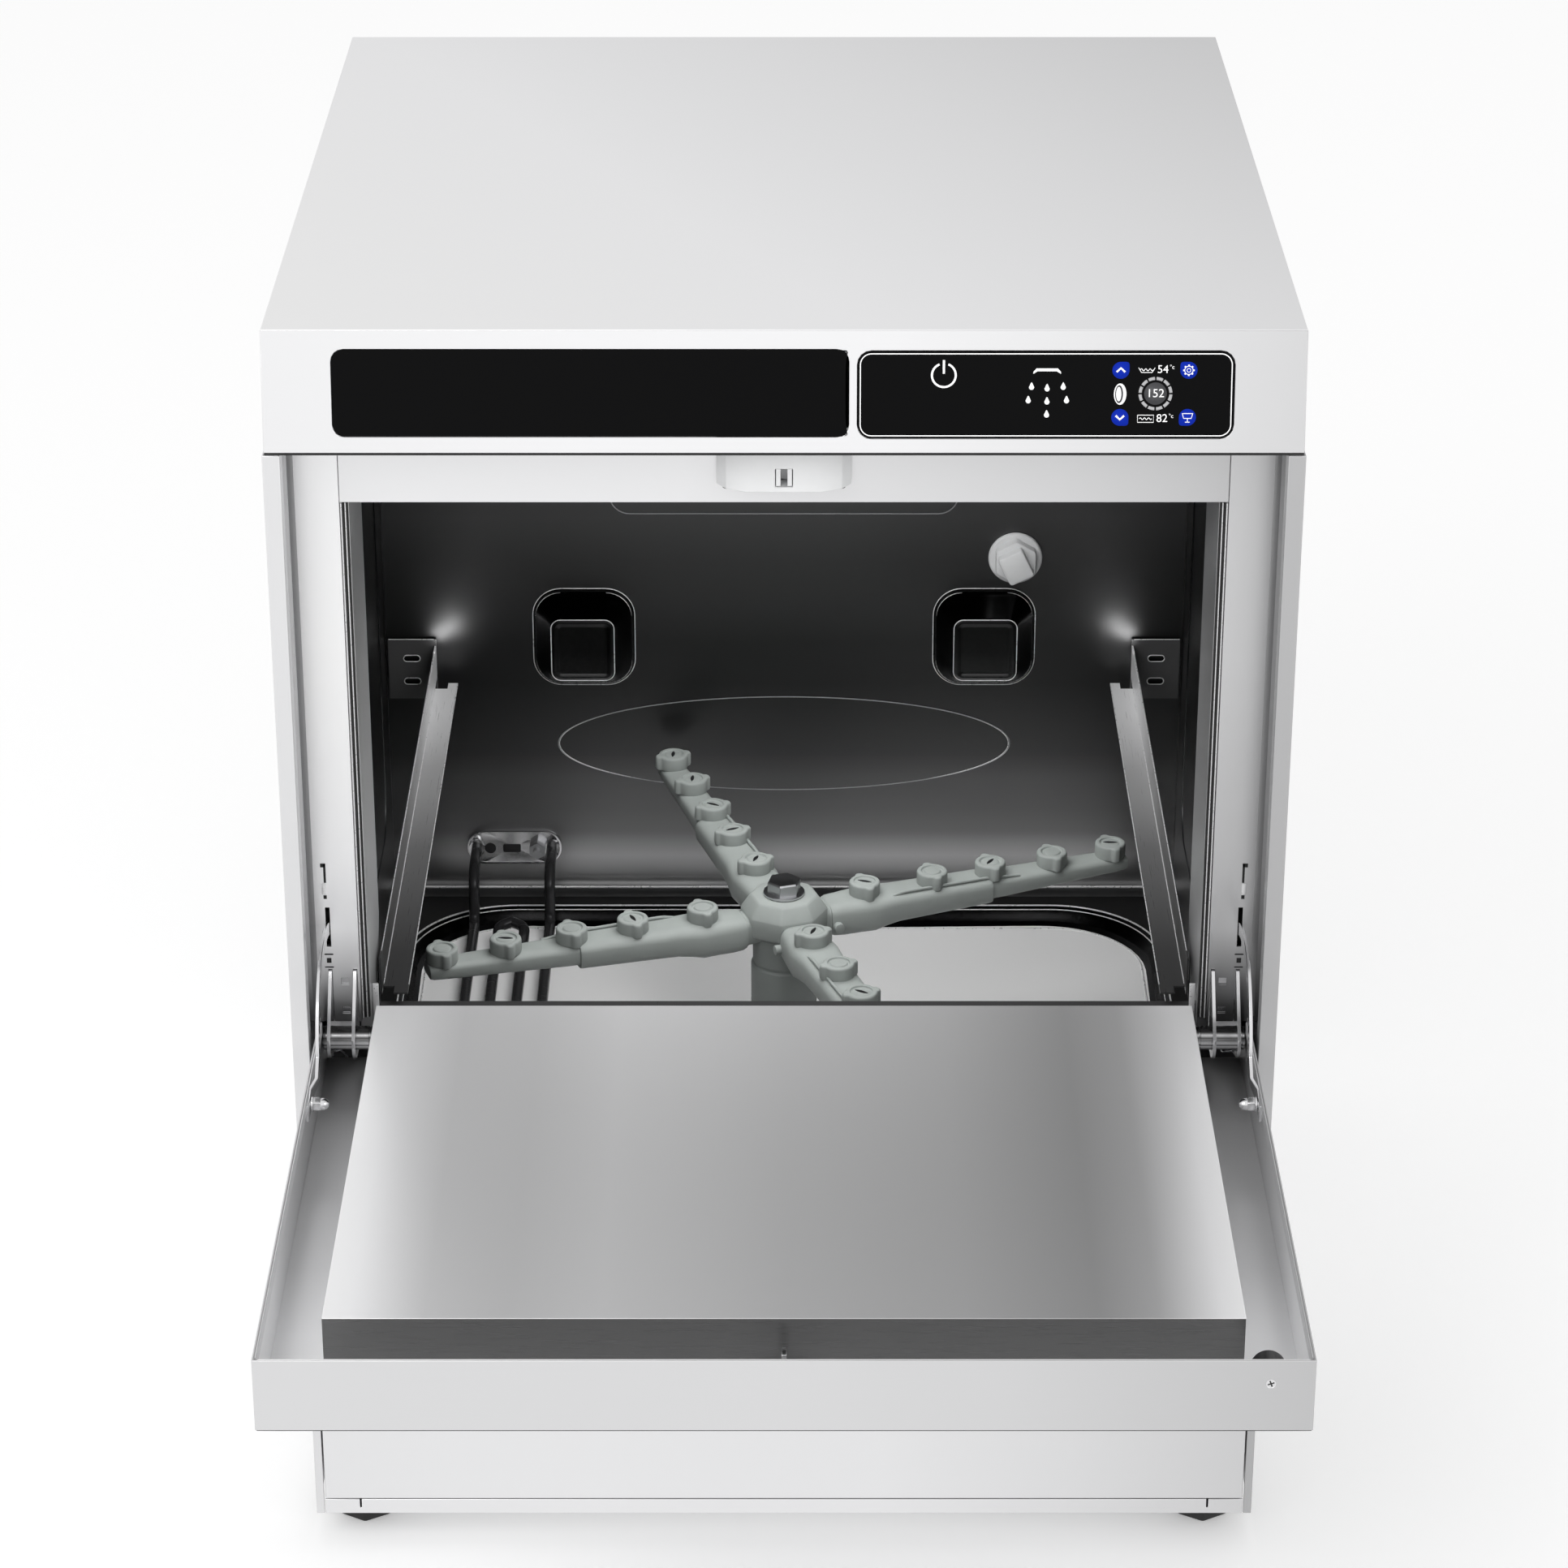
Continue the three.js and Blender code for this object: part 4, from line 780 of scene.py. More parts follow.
def stroke_patch(points, width):
    """Line of even width: the points pushed to both sides along the normal."""
    points = np.asarray(points, float)
    along = np.gradient(points, axis=0)
    along /= np.linalg.norm(along, axis=1, keepdims=True)
    normal = np.stack([-along[:, 1], along[:, 0]], axis=-1) * width / 2
    both = np.concatenate([points - normal, points + normal])
    count = len(points)
    j = np.arange(count - 1)
    return both, np.stack([j, j + 1, j + count + 1, j + count], axis=-1).tolist()


def drop_patch(centre, height):
    """Falling drop: a circle with a taller upper half, which narrows with the cosine to the power
    0.7."""
    angle = np.linspace(0, 2 * np.pi, 28, endpoint=False)
    width = 0.34 * height * np.sin(angle) * (1 - 0.55 * np.clip(np.cos(angle), 0, 1) ** 0.7)
    tall = np.where(np.cos(angle) > 0, 0.62, 0.38) * height * np.cos(angle)
    return shape_patch(np.array(centre) + np.stack([width, tall], axis=-1)[::-1])


def wave_patch(centre, width, height, turns=2.0, stroke=0.5):
    """Wavy line: a sine over the given number of turns."""
    t = np.linspace(0, 1, 36)
    line = np.stack([(t - 0.5) * width, height / 2 * np.sin(2 * np.pi * turns * t)], axis=-1)
    return stroke_patch(np.array(centre) + line, stroke)


def printed(name, patches, ink, raise_by=0.05, lifted=True):
    """Patches laid on the slope as one thin printed piece."""
    points, faces = [], []
    for some_points, some_faces in patches:
        faces += [[len(points) + index for index in face] for face in some_faces]
        points += on_slope(some_points + np.array([0, MARK_RISE * lifted]), raise_by).tolist()
    piece = make(name, (points, faces), ink, "cabinet", outward=False)
    film = piece.modifiers.new("film", "SOLIDIFY")
    film.thickness, film.offset = 0.00004, -1
    return piece


# %% Outline and symbols
def loop_patch(outline, inset_outline):
    """Band between two loops that have the same number of points."""
    count = len(outline)
    j = np.arange(count)
    k = (j + 1) % count
    return np.concatenate([inset_outline, outline]), np.stack([j, j + count, k + count, k],
                                                              axis=-1).tolist()


outline_band = loop_patch(centred(*TOUCH_PLACE, 8, 1.3), centred(*TOUCH_PLACE, 8, 1.9))
power = [ring_patch((91.3, 44.6), 6.2, 7.4, 112, 428, 60), stroke_patch([(91.3, 45.5), (91.3, 53.4)], 1.3)]
head = shape_patch([(142.4, 46.6), (144.2, 48.6), (156.4, 48.6), (158.2, 46.6), (158.2, 45.4),
                    (155.8, 46.9), (144.8, 46.9), (142.4, 45.4)][::-1])
drops = [drop_patch(place, 4.4) for place in ((141.5, 37.8), (150.4, 36.9), (159.6, 37.8), (139.7, 30.0),
                                             (150.4, 29.3), (161.6, 30.0), (150.3, 21.7))]
plate_symbol = [disc_patch((192.2, 33.7), (3.6, 6.2))]
printed("panel_outline", [outline_band], white_ink, lifted=False)
printed("panel_symbols", [*power, head, *drops, *plate_symbol], white_ink)
printed("plate_groove", [disc_patch((191.6, 33.7), (2.3, 5.2))], grey_ink, 0.08)
printed("plate_middle", [disc_patch((191.4, 33.7), (1.5, 4.2))], white_ink, 0.11)
print("power, shower and plate symbols printed")


# %% [markdown]
# A superellipse is |x|^p + |y|^p = 1. With p = 2 it is a circle and with a large p almost a square,
# so a key with one square corner changes p in one quadrant only.

# %% Blue keys, dial and small marks
def key_patch(centre, size=9.8, square_corner=0):
    """Round key with one corner left nearly square: a superellipse whose power changes by quadrant."""
    angle = np.linspace(0, 2 * np.pi, 64, endpoint=False)
    quadrant = np.floor(angle / (np.pi / 2)).astype(int)
    exponent = np.where(quadrant == square_corner, 6.0, 2.0)
    cosine, sine = np.cos(angle), np.sin(angle)
    reach = (np.abs(cosine) ** exponent + np.abs(sine) ** exponent) ** (-1 / exponent)
    return shape_patch(np.array(centre) + size / 2 * reach[:, None] * np.stack([cosine, sine], axis=-1))


KEYS = {"up": ((192.4, 47.5), 0), "settings": ((231.2, 47.5), 1), "down": ((192.3, 20.2), 3),
        "drain": ((231.0, 20.2), 2)}
printed("panel_keys", [key_patch(centre, 9.8, corner) for centre, corner in KEYS.values()], blue_ink, 0.05)
(ux, uy), (dx, dy), (gx, gy), (kx, ky) = (KEYS[k][0] for k in ("up", "down", "settings", "drain"))
chevrons = [stroke_patch([(ux - 2.4, uy - 1.0), (ux, uy + 1.3), (ux + 2.4, uy - 1.0)], 1.2),
            stroke_patch([(dx - 2.4, dy + 1.0), (dx, dy - 1.3), (dx + 2.4, dy + 1.0)], 1.2)]
gear = [ring_patch((gx, gy), 2.2, 2.6), ring_patch((gx, gy), 0.9, 1.25, count=24)]
gear += [ring_patch((gx, gy), 2.6, 3.3, a - 9, a + 9, 4) for a in range(0, 360, 45)]
basin = [stroke_patch([(kx - 3.0, ky + 2.2), (kx - 2.2, ky - 0.6), (kx + 2.2, ky - 0.6),
                       (kx + 3.0, ky + 2.2)], 0.45),
         stroke_patch([(kx - 3.2, ky + 2.2), (kx + 3.2, ky + 2.2)], 0.45),
         stroke_patch([(kx, ky - 0.6), (kx, ky - 2.8)], 0.45),
         stroke_patch([(kx - 1.4, ky - 2.8), (kx + 1.4, ky - 2.8)], 0.45)]
DIAL_MIDDLE = (212.4, 34.0)
dial = [ring_patch(DIAL_MIDDLE, 7.9, 9.7, a + 3, a + 27, 8) for a in range(0, 360, 30)]
tank_mark = [wave_patch((207.2, 47.8), 7.4, 1.2, 3, 0.4),
             stroke_patch([(202.5, 49.0), (204.2, 46.2), (210.2, 46.2), (211.9, 49.0)], 0.4)]
boiler_mark = [wave_patch((207.0, 19.4), 7.2, 1.1, 3, 0.4),
               stroke_patch([(202.4, 21.5), (211.6, 21.5), (211.6, 17.3), (202.4, 17.3), (202.4, 21.5)],
                            0.4)]
printed("panel_marks", [*chevrons, *gear, *basin, *tank_mark, *boiler_mark], white_ink, 0.09)
printed("dial_segments", dial, pale_ink, 0.09)
printed("dial_face", [disc_patch(DIAL_MIDDLE, 6.5)], grey_ink, 0.06)
print("keys and dial printed")


# %% [markdown]
# The readings are text curves turned into meshes, laid on the slope like the other prints.

# %% Numbers
def number(name, text, centre, size):
    """Text turned into a mesh, centred on (u, v) and laid on the slope."""
    curve = bpy.data.curves.new(name, "FONT")
    curve.body, curve.size, curve.align_x, curve.align_y = text, size, "CENTER", "CENTER"
    writer = bpy.data.objects.new(name + "_curve", curve)
    bpy.context.collection.objects.link(writer)
    bpy.context.view_layer.update()
    flat = bpy.data.meshes.new_from_object(writer.evaluated_get(bpy.context.evaluated_depsgraph_get()))
    bpy.data.objects.remove(writer)
    points = np.empty(len(flat.vertices) * 3)
    flat.vertices.foreach_get("co", points)
    points = points.reshape(-1, 3)[:, :2] + np.array(centre)
    faces = [list(face.vertices) for face in flat.polygons]
    return printed(name, [(points, faces)], white_ink, 0.12)


number("cycle_seconds", "152", DIAL_MIDDLE, 6.9)
for which, text, v in (("tank", "54", 47.9), ("boiler", "82", 19.5)):
    number(which + "_degrees", text, (216.4, v), 6.6)
    number(which + "_unit", "°c", (221.6, v + 1.4), 3.4)
print("readings printed")

# %% [markdown]
# ## The mouth of the chamber
# Jambs, top rail and sill are softened sheet. Beside each jamb's fold runs a channel that holds the
# door seal, so the edge reads as several fine upright lines, bright and dark. A rubber bead and two
# steel ribs, each a thin bar carried up the jamb, give those lines.

# %% Front frame
for side in ("left", "right"):
    soften(f"jamb_{side}", jamb_steel[side], "cabinet", 0.3)
    soften(f"chamber_side_wall_{side}", chamber_steel, "cabinet", 0.4)
    rail = soften(f"rack_rail_{side}", rail_steel, "cabinet", 0.35)
    paint(rail, shade_steel, lambda c, n: (np.abs(c[:, 0]) > 254.5) & (c[:, 1] > 580))
soften("top_rail", lintel_steel, "cabinet", 0.35)
soften("tank_sill", rail_steel, "cabinet", 0.4)
soften("chamber_ceiling", chamber_steel, "cabinet", 0.3)


def upright_bar(x, y, low, high, width, depth):
    """Slim bar with rounded corners, carried straight up."""
    outline = rounded_rect(width, depth, 0.45 * min(width, depth), 4)
    return stack(outline, [(0.8, low), (1, low + 0.4), (1, high - 0.4), (0.8, high)], centre=(x, y, 0))


jamb_low, _ = span("jamb_right")
rail_low, _ = span("top_rail")
seal_base, seal_top = jamb_low[2] + 12, rail_low[2] - 1
for sign, side in ((-1, "left"), (1, "right")):
    ribs = together(upright_bar(sign * 260.7, 47.4, seal_base, seal_top, 0.8, 2.0),
                    upright_bar(sign * 258.3, 48.6, seal_base, seal_top, 0.7, 2.4))
    make(f"seal_ribs_{side}", ribs, hairline, "cabinet")
    beads = together(upright_bar(sign * 259.5, 48.4, seal_base, seal_top, 1.3, 2.0),
                     upright_bar(sign * 257.2, 49.0, seal_base, seal_top, 1.1, 2.0))
    make(f"seal_bead_{side}", beads, rubber, "cabinet")
print("front frame and seal in place")


# %% [markdown]
# Light catches a fold as a thin line. Here that line is painted: bright tubes well under a millimetre
# thick lie along the folds, and rings round the slots, as painted highlights.

# %% Fold lines of the rails and rims of their slots
lines = []
for sign in (-1, 1):
    for x, z in ((253.0, 352.7), (253.6, 376.0), (237.1, 352.1)):
        lines.append(tube([(sign * x, y, z) for y in (103, 250, 400, 570)], 0.4, 8))
    for z in (348, 366):
        slot_rim = rounded_rect(12, 5, 2.45, 6)
        lines.append(bead(np.column_stack([sign * 271 + slot_rim[:, 0], np.full(len(slot_rim), 586.6),
                                           z + slot_rim[:, 1]]), 0.4))
    lines.append(tube([(sign * x, 586.9, 380.9) for x in (254.5, 270, 287.5)], 0.35, 8))
make("rail_fold_highlights", together(*lines), hairline, "cabinet", smooth=80)
print(len(lines), "fold lines on the rails")


# %% [markdown]
# Where two sheets meet there is a dark gap. Slim bars lie in the gaps and slots as painted shade:
# black ones in the jambs' slots, along the hood's front edge and, as a painted shadow, under the
# latch, and grey strips beside the jambs' folds. A few small bright plates lie beside them. Most are
# mirrored from one side to the other by a sign.

# %% Gaps and slots of the frame
def plain_bar(x, y, z):
    """Bar with rounded ends and edges between pairs of x, y and z limits."""
    size = [max(limits) - min(limits) for limits in (x, y, z)]
    outline = rounded_rect(size[0], size[1], 0.3 * min(size[:2]), 4)
    low, high = min(z), max(z)
    return stack(outline, [(0.96, low), (1, low + 0.1), (1, high - 0.1), (0.96, high)],
                 centre=(sum(x) / 2, sum(y) / 2, 0))


shade_bars, plates, folds = [], [], []
for sign in (-1, 1):
    # painted shade: a grey strip beside each jamb's fold, then black bars in the jamb's slots
    folds += [plain_bar((sign * 287.6, sign * 291.4), (45.6, 45.9), (360, 747.6))]
    shade_bars += [plain_bar((sign * 279.9, sign * 283.1), (45.7, 45.95), (462.5, 465)),
             plain_bar((sign * 279.9, sign * 281.3), (45.7, 45.95), (452, 465)),
             plain_bar((sign * 279.9, sign * 281.9), (45.7, 45.95), (441, 443.4)),
             plain_bar((sign * 277.6, sign * 283.0), (45.7, 45.95), (402.4, 403.2)),
             plain_bar((sign * 277.6, sign * 283.0), (45.7, 45.95), (393.6, 394.3)),
             plain_bar((sign * 278.9, sign * 281.7), (45.7, 45.95), (397, 400.2))]
    plates += [plain_bar((sign * 280.0, sign * 282.6), (45.4, 45.9), (444, 451.4)),
               plain_bar((sign * 252.2, sign * 256.0), (61.4, 62.6), (345, 374))]
# painted shade: a black bar along the hood's front edge
shade_bars.append(plain_bar((-298.4, 298.4), (0.35, 1.3), (748.4, 749.8)))
# painted shadow: a black bar under the latch
shade_bars.append(plain_bar((-36, 36), (33, 45.5), (714.9, 715.5)))
make("frame_gap_shade", together(*shade_bars), rubber, "cabinet")
make("frame_plates", together(*plates), hairline, "cabinet")
make("frame_fold_shade", together(*folds), fold_shade, "cabinet")
print(len(shade_bars), "dark gaps and", len(plates), "small plates")

# %% [markdown]
# ## Latch
# The housing is a pale moulding with chamfered ends: the softened solid with a broad bevel looks
# moulded. The fork behind its window is softened too.

# %% Latch
soften("latch_housing", pale_plastic, "cabinet", 1.1, 3)
soften("latch_catch", pale_plastic, "catch", 0.3)
print("latch moulded")

# %% [markdown]
# ## Back wall with its pressings
# The wall is one sheet that bends forward into the tank. Pressed into it are two square bosses with
# round corners, an oval bead and, above, the outline of a wide panel. The sheet is a profile carried
# across, a boss is a rounded rectangle that shrinks as it comes forward, and a bead is a thin
# half-buried ring.

# %% Wall sheet
wall_low, wall_high = span("chamber_back_wall")
BACK = wall_high[1] - 1.2


def folded(profile, thickness, axis_low, axis_high):
    """Sheet from a bent line in (Y, Z): the line is pushed to both sides by half the thickness and
    carried along X."""
    profile = np.asarray(profile, float)
    along = np.gradient(profile, axis=0)
    along /= np.linalg.norm(along, axis=1, keepdims=True)
    normal = np.stack([-along[:, 1], along[:, 0]], axis=-1) * thickness / 2
    section = np.concatenate([profile - normal, (profile + normal)[::-1]])
    rings = [np.column_stack([np.full(len(section), x), section]) for x in (axis_low, axis_high)]
    return skin(rings)


bend = np.linspace(0, np.pi / 2, 13)
ledge = span("wash_tank")[1][2]
wall_line = np.vstack([[BACK + 0.6, wall_high[2]], [BACK + 0.6, 400],
                       np.column_stack([BACK - 12 + 12.6 * np.cos(bend),
                                        ledge + 12 - 12.6 * np.sin(bend)])])
make("back_wall_sheet", folded(wall_line, 1.2, wall_low[0], wall_high[0]), wall_steel, "cabinet",
     ["chamber_back_wall"])
print("back wall carried across", round(wall_high[0] - wall_low[0]), "mm")


# %% [markdown]
# A boss stands furthest out in the middle and is eased at both rims. Three fine bright rings on its
# folds are painted highlights.

# %% Bosses
def boss_surface(x, z=382.0):
    """Rounded rectangles from the wall to the boss's face. Both rims are eased by part of a
    quarter circle; the one at the face is 4 mm deep."""
    foot = np.linspace(0, np.pi / 2, 6)[:-1] * 0.62
    face = np.linspace(0.34, 1, 6) * np.pi / 2
    base, top, depth = np.array([74.0, 76.0]), np.array([45.0, 47.0]), 26.0
    steps = [(0.0, 0.3), (0.02, 0.3)] + list(zip(0.04 + 0.16 * np.sin(foot),
                                                 0.3 + 7 * (1 - np.cos(foot)) * 1.6))
    steps += [(0.30, 6.4), (0.9, depth - 4.0)]
    steps += list(zip(0.9 + 0.2 * (1 - np.cos(face)), depth - 4.0 + 4.0 * np.sin(face)))
    steps += [(1.2, depth), (1.32, depth - 0.7), (1.4, depth - 0.8)]
    share, rise = np.array(steps).T
    rings = []
    for t, d in zip(share, rise):
        size = base + (top - base) * t
        radius = max(2.0, 21 + (7 - 21) * t)
        ring = rounded_rect(*size, radius, 8)
        rings.append(np.column_stack([x + ring[:, 0], np.full(len(ring), BACK - d), z + ring[:, 1]]))
    return skin(rings)


def boss_rims(x, z=382.0):
    """Painted highlights on a boss's folds: bright lines at its foot, where its slope starts, and its face.
    """
    loops = []
    for width, height, radius, rise in ((74, 76, 21, 0.6), (69, 71, 18, 3.2), (45.5, 47.5, 7, 25.6)):
        ring = rounded_rect(width, height, radius, 10)
        loops.append(bead(np.column_stack([x + ring[:, 0], np.full(len(ring), BACK - rise),
                                           z + ring[:, 1]]), 0.34))
    return together(*loops)


BOSS_PLACES = (-145.3, 145.3)
# painted shade: the bosses are near black and lighter towards their lower edge
boss_steel = brushed("boss_stainless", (0.03, 0.03, 0.031), 0.22, grain=(60, 60, 60), relief=0.0005)
painted_shading(boss_steel, UPWARDS, [(344, 0.22), (362, 0.09), (380, 0.045), (420, 0.03)])
make("wall_bosses", together(*[boss_surface(x) for x in BOSS_PLACES]), boss_steel, "cabinet",
     smooth=50)
make("boss_rims", together(*[boss_rims(x) for x in BOSS_PLACES]), hairline, "cabinet",
     smooth=80)
print("bosses pressed")

# %% [markdown]
# The oval is an ellipse given by cosine and sine; the wide panel above it is a rounded rectangle cut
# off below the ceiling.

# %% Beads
turn = np.linspace(0, 2 * np.pi, 160, endpoint=False)
oval = np.column_stack([165 * np.cos(turn), np.full(160, BACK), 296.5 + 37.5 * np.sin(turn)])
plate_ring = rounded_rect(250, 420, 14, 8)
plate_loop = np.column_stack([plate_ring[:, 0], np.full(len(plate_ring), BACK),
                              478 + 210 + plate_ring[:, 1]])
plate_loop[:, 2] = np.minimum(plate_loop[:, 2], wall_high[2] - 3)
# lighter zinc finish
# painted highlights: the oval bead is bright, and the creases beside it and round the panel are in the
make("wall_beads", bead(oval, 0.32), hairline, "cabinet", smooth=80)
make("wall_creases", together(bead(oval * np.array([1.006, 1, 1]), 0.45), bead(plate_loop, 0.5)), zinc,
     "cabinet",
     smooth=80)


def side_bead(sign):
    """Rounded rectangle pressed into a side wall, drawn in (Y, Z)."""
    ring = rounded_rect(380, 440, 30, 8)
    x = sign * (span("chamber_side_wall_right")[1][0] - 1.2)
    return bead(np.column_stack([np.full(len(ring), x), 350 + ring[:, 0], 470 + ring[:, 1]]), 0.9,
                reference=(1, 0, 0))


make("side_beads", together(side_bead(-1), side_bead(1)), chamber_steel, "cabinet",
     smooth=80)
print("beads pressed into the walls")

# %% [markdown]
# ## Tank
# The tank is pressed from one sheet: a flat ledge, a rounded rim, a short sloping side and a flat
# floor. Each contour is found by shooting rays from the middle: the ledge ends on the chamber's
# outline and the recess on a rounded rectangle. Between them the height follows a smooth S.

# %% Tank pressing
RECESS_WIDTH, RECESS_DEPTH, RECESS_CORNER, RECESS_BACK = 546, 416, 77, 561
SUMP_Y = 216


def ray_loop(outline, centre, angles):
    """Where rays from the centre meet a closed outline: for every ray the nearest crossing of all
    sides, each found from the two-by-two equations of ray and side."""
    start = np.asarray(outline, float) - centre
    side = np.roll(start, -1, axis=0) - start
    direction = np.stack([np.cos(angles), np.sin(angles)], axis=-1)
    cross = direction[:, None, 0] * side[None, :, 1] - direction[:, None, 1] * side[None, :, 0]
    cross = np.where(np.abs(cross) < 1e-12, 1e-12, cross)
    reach = (start[None, :, 0] * side[None, :, 1] - start[None, :, 1] * side[None, :, 0]) / cross
    share = (start[None, :, 0] * direction[:, None, 1] - start[None, :, 1] * direction[:, None, 0]) / cross
    valid = (reach > 0) & (share >= -1e-9) & (share <= 1 + 1e-9)
    distance = np.where(valid, reach, np.inf).min(axis=1)
    return centre + direction * distance[:, None]


def tank_surface():
    """Rings from the sump's underside out to the ledge, over its edge and back down into the sump."""
    low, high = span("wash_tank")
    centre = np.array([0.0, 330.0])
    shoulder, neck = 126.0, 255.0
    ledge_outline = [(-neck, low[1]), (neck, low[1]), (neck, shoulder), (high[0], shoulder),
                     (high[0], high[1]), (low[0], high[1]), (low[0], shoulder), (-neck, shoulder)]
    corners = np.arctan2(*(np.array(ledge_outline) - centre).T[::-1])
    angles = np.sort(np.concatenate([np.linspace(-np.pi, np.pi, 180, endpoint=False), corners]))
    outer = ray_loop(ledge_outline, centre, angles)
    recess = rounded_rect(RECESS_WIDTH, RECESS_DEPTH, RECESS_CORNER, 16)
    recess += np.array([0, RECESS_BACK - RECESS_DEPTH / 2])
    rim = ray_loop(recess, centre, angles)
    floor_z = 165.0
    distance = np.linalg.norm(rim - centre, axis=1, keepdims=True)

    def recess_ring(inset, height):
        """The recess outline drawn in towards the middle by the inset, at a height."""
        ring = centre + (rim - centre) * (1 - inset / distance)
        return np.column_stack([ring, np.full(len(ring), height)])

    def sump_ring(radius, height):
        """Circle about the sump's middle, one point to a ray."""
        ring = np.array([0, SUMP_Y]) + radius * np.stack([np.cos(angles), np.sin(angles)], axis=-1)
        return np.column_stack([ring, np.full(len(ring), height)])

    rings = [sump_ring(46, floor_z - 30), sump_ring(46, floor_z - 2), recess_ring(15, floor_z - 2),
             recess_ring(-2, ledge - 2), np.column_stack([outer, np.full(len(outer), ledge - 2)]),
             np.column_stack([outer, np.full(len(outer), ledge)])]
    for share in np.linspace(0, 1, 12):
        rings.append(recess_ring(-3 + 16 * share,
                                 ledge - (ledge - floor_z) * (share ** 2 * (3 - 2 * share))))
    rings += [sump_ring(60, floor_z), sump_ring(47, floor_z - 0.6), sump_ring(44.5, floor_z - 3),
              sump_ring(44.5, floor_z - 28)]
    return skin(rings)


tank = make("tank_pressing", tank_surface(), tank_steel, "cabinet", ["wash_tank"],
            smooth=60)
# painted shade: the ledge and the recess slope get dark copies of the tank's steel
paint(tank, ledge_steel, lambda c, n: c[:, 2] > ledge - 0.05)
paint(tank, recess_steel, lambda c, n: (c[:, 2] > 166.3) & (c[:, 2] <= ledge - 0.05))


def tank_rims():
    """Painted highlights along the recess: bright lines at its rim, half-way down and at the floor's edge.
    """
    loops = []
    for grow, z, radius in ((2.0, ledge + 0.1, 0.7), (-1.5, ledge - 1.6, 0.45), (-13, 165.3, 0.6)):
        ring = rounded_rect(RECESS_WIDTH + 2 * grow, RECESS_DEPTH + 2 * grow, RECESS_CORNER + grow, 24)
        ring += np.array([0, RECESS_BACK - RECESS_DEPTH / 2])
        loops.append(bead(np.column_stack([ring, np.full(len(ring), z)]), radius, reference=(0, 0, 1)))
    return together(*loops)


make("tank_rims", tank_rims(), hairline, "cabinet", smooth=80)
# painted highlight: a bright tube along the wall's bend into the ledge
bend_line = np.array([[-289, BACK - 4.4, ledge + 4.2], [289, BACK - 4.4, ledge + 4.2]])
make("bend_line", tube(bend_line, 1.0, 12), hairline, "cabinet", smooth=80)
print("tank pressed, floor 11 mm below its ledge")

# %% [markdown]
# The strainer lies over the sump: a dished disc with a grip and rings of holes. The holes are black
# dimples, painted shade, a few faces each, set in four circles by one line of arithmetic.

# %% Strainer
strainer_low, strainer_high = span("tank_strainer")
strainer_centre = ((strainer_low[0] + strainer_high[0]) / 2, (strainer_low[1] + strainer_high[1]) / 2, 0)
floor_level = 165.3
dish = lathe([(30, floor_level - 18), (38, floor_level - 18), (38, floor_level), (52, floor_level),
              (52, floor_level + 1.6), (50.5, floor_level + 2.8), (46, floor_level + 3),
              (30, floor_level + 1.6), (11, floor_level + 2.2), (9, floor_level + 5),
              (8, strainer_high[2] - 3), (9, strainer_high[2] - 1), (8, strainer_high[2]),
              (2, strainer_high[2])], centre=strainer_centre, count=72)
make("strainer_dish", dish, bright_steel, "cabinet", ["tank_strainer"])
hole_angles = np.arange(24) * 2 * np.pi / 24
holes = [lathe([(1.2, 0), (1.5, 0.35), (0.4, 0.4)], centre=(strainer_centre[0] + r * math.cos(a),
         strainer_centre[1] + r * math.sin(a), floor_level + lift), count=10)
         for r, lift in ((40, 2.25), (33, 1.75), (26, 1.65), (19, 1.85)) for a in hole_angles]
make("strainer_holes", together(*holes), black_plastic, "cabinet")
print(len(holes), "holes in the strainer")

# %% [markdown]
# ## Heater
# A rounded flange with a raised edge is bolted to the back wall. Two sheathed tubes leave it, dip
# down, run forward over the tank's floor and come back to meet in the middle. Each is one tube
# along an eased path, drawn from the same few corners mirrored about the heater's own middle.

# %% Heater
heater_low, heater_high = span("heating_element")
HEATER_X, HEATER_Z = (heater_low[0] + heater_high[0]) / 2, 213.0
LEG_OUT = 27.8


def heater_leg(side):
    """Eased path of one tube; side is -1 for the left leg and 1 for the right."""
    outer, inner, low_z = HEATER_X + side * LEG_OUT, HEATER_X + side * 9.5, 174.0
    wall = BACK - 0.3
    corners = [(outer, wall + 12, HEATER_Z), (outer, wall - 34, HEATER_Z), (outer, wall - 46, HEATER_Z - 8),
               (outer, wall - 50, low_z), (outer, wall - 80, low_z), (outer, 178, low_z),
               (outer - side * 6, 172, low_z), (inner + side * 6, 172, low_z), (inner, 178, low_z),
               (inner, wall - 74, low_z), (inner, wall - 62, low_z + 3), (HEATER_X, wall - 58, low_z + 5)]
    return eased_path(corners, 11, 8)


legs = [tube(heater_leg(side), 4.0, 16, reference=(0.93, 0.11, 0.35)) for side in (-1, 1)]
make("heater_tubes", together(*legs), sheath, "cabinet", ["heating_element"], smooth=60)
flange_outline = rounded_rect(71, 27, 13.2, 10)


def wall_plate(outline, rises, x, z):
    """Plate on the back wall: the outline scaled and moved forward by each (scale, rise)."""
    rings = [np.column_stack([x + s * outline[:, 0], np.full(len(outline), BACK - 0.3 - d),
                              z + s * outline[:, 1]])
             for s, d in rises]
    return skin(rings)


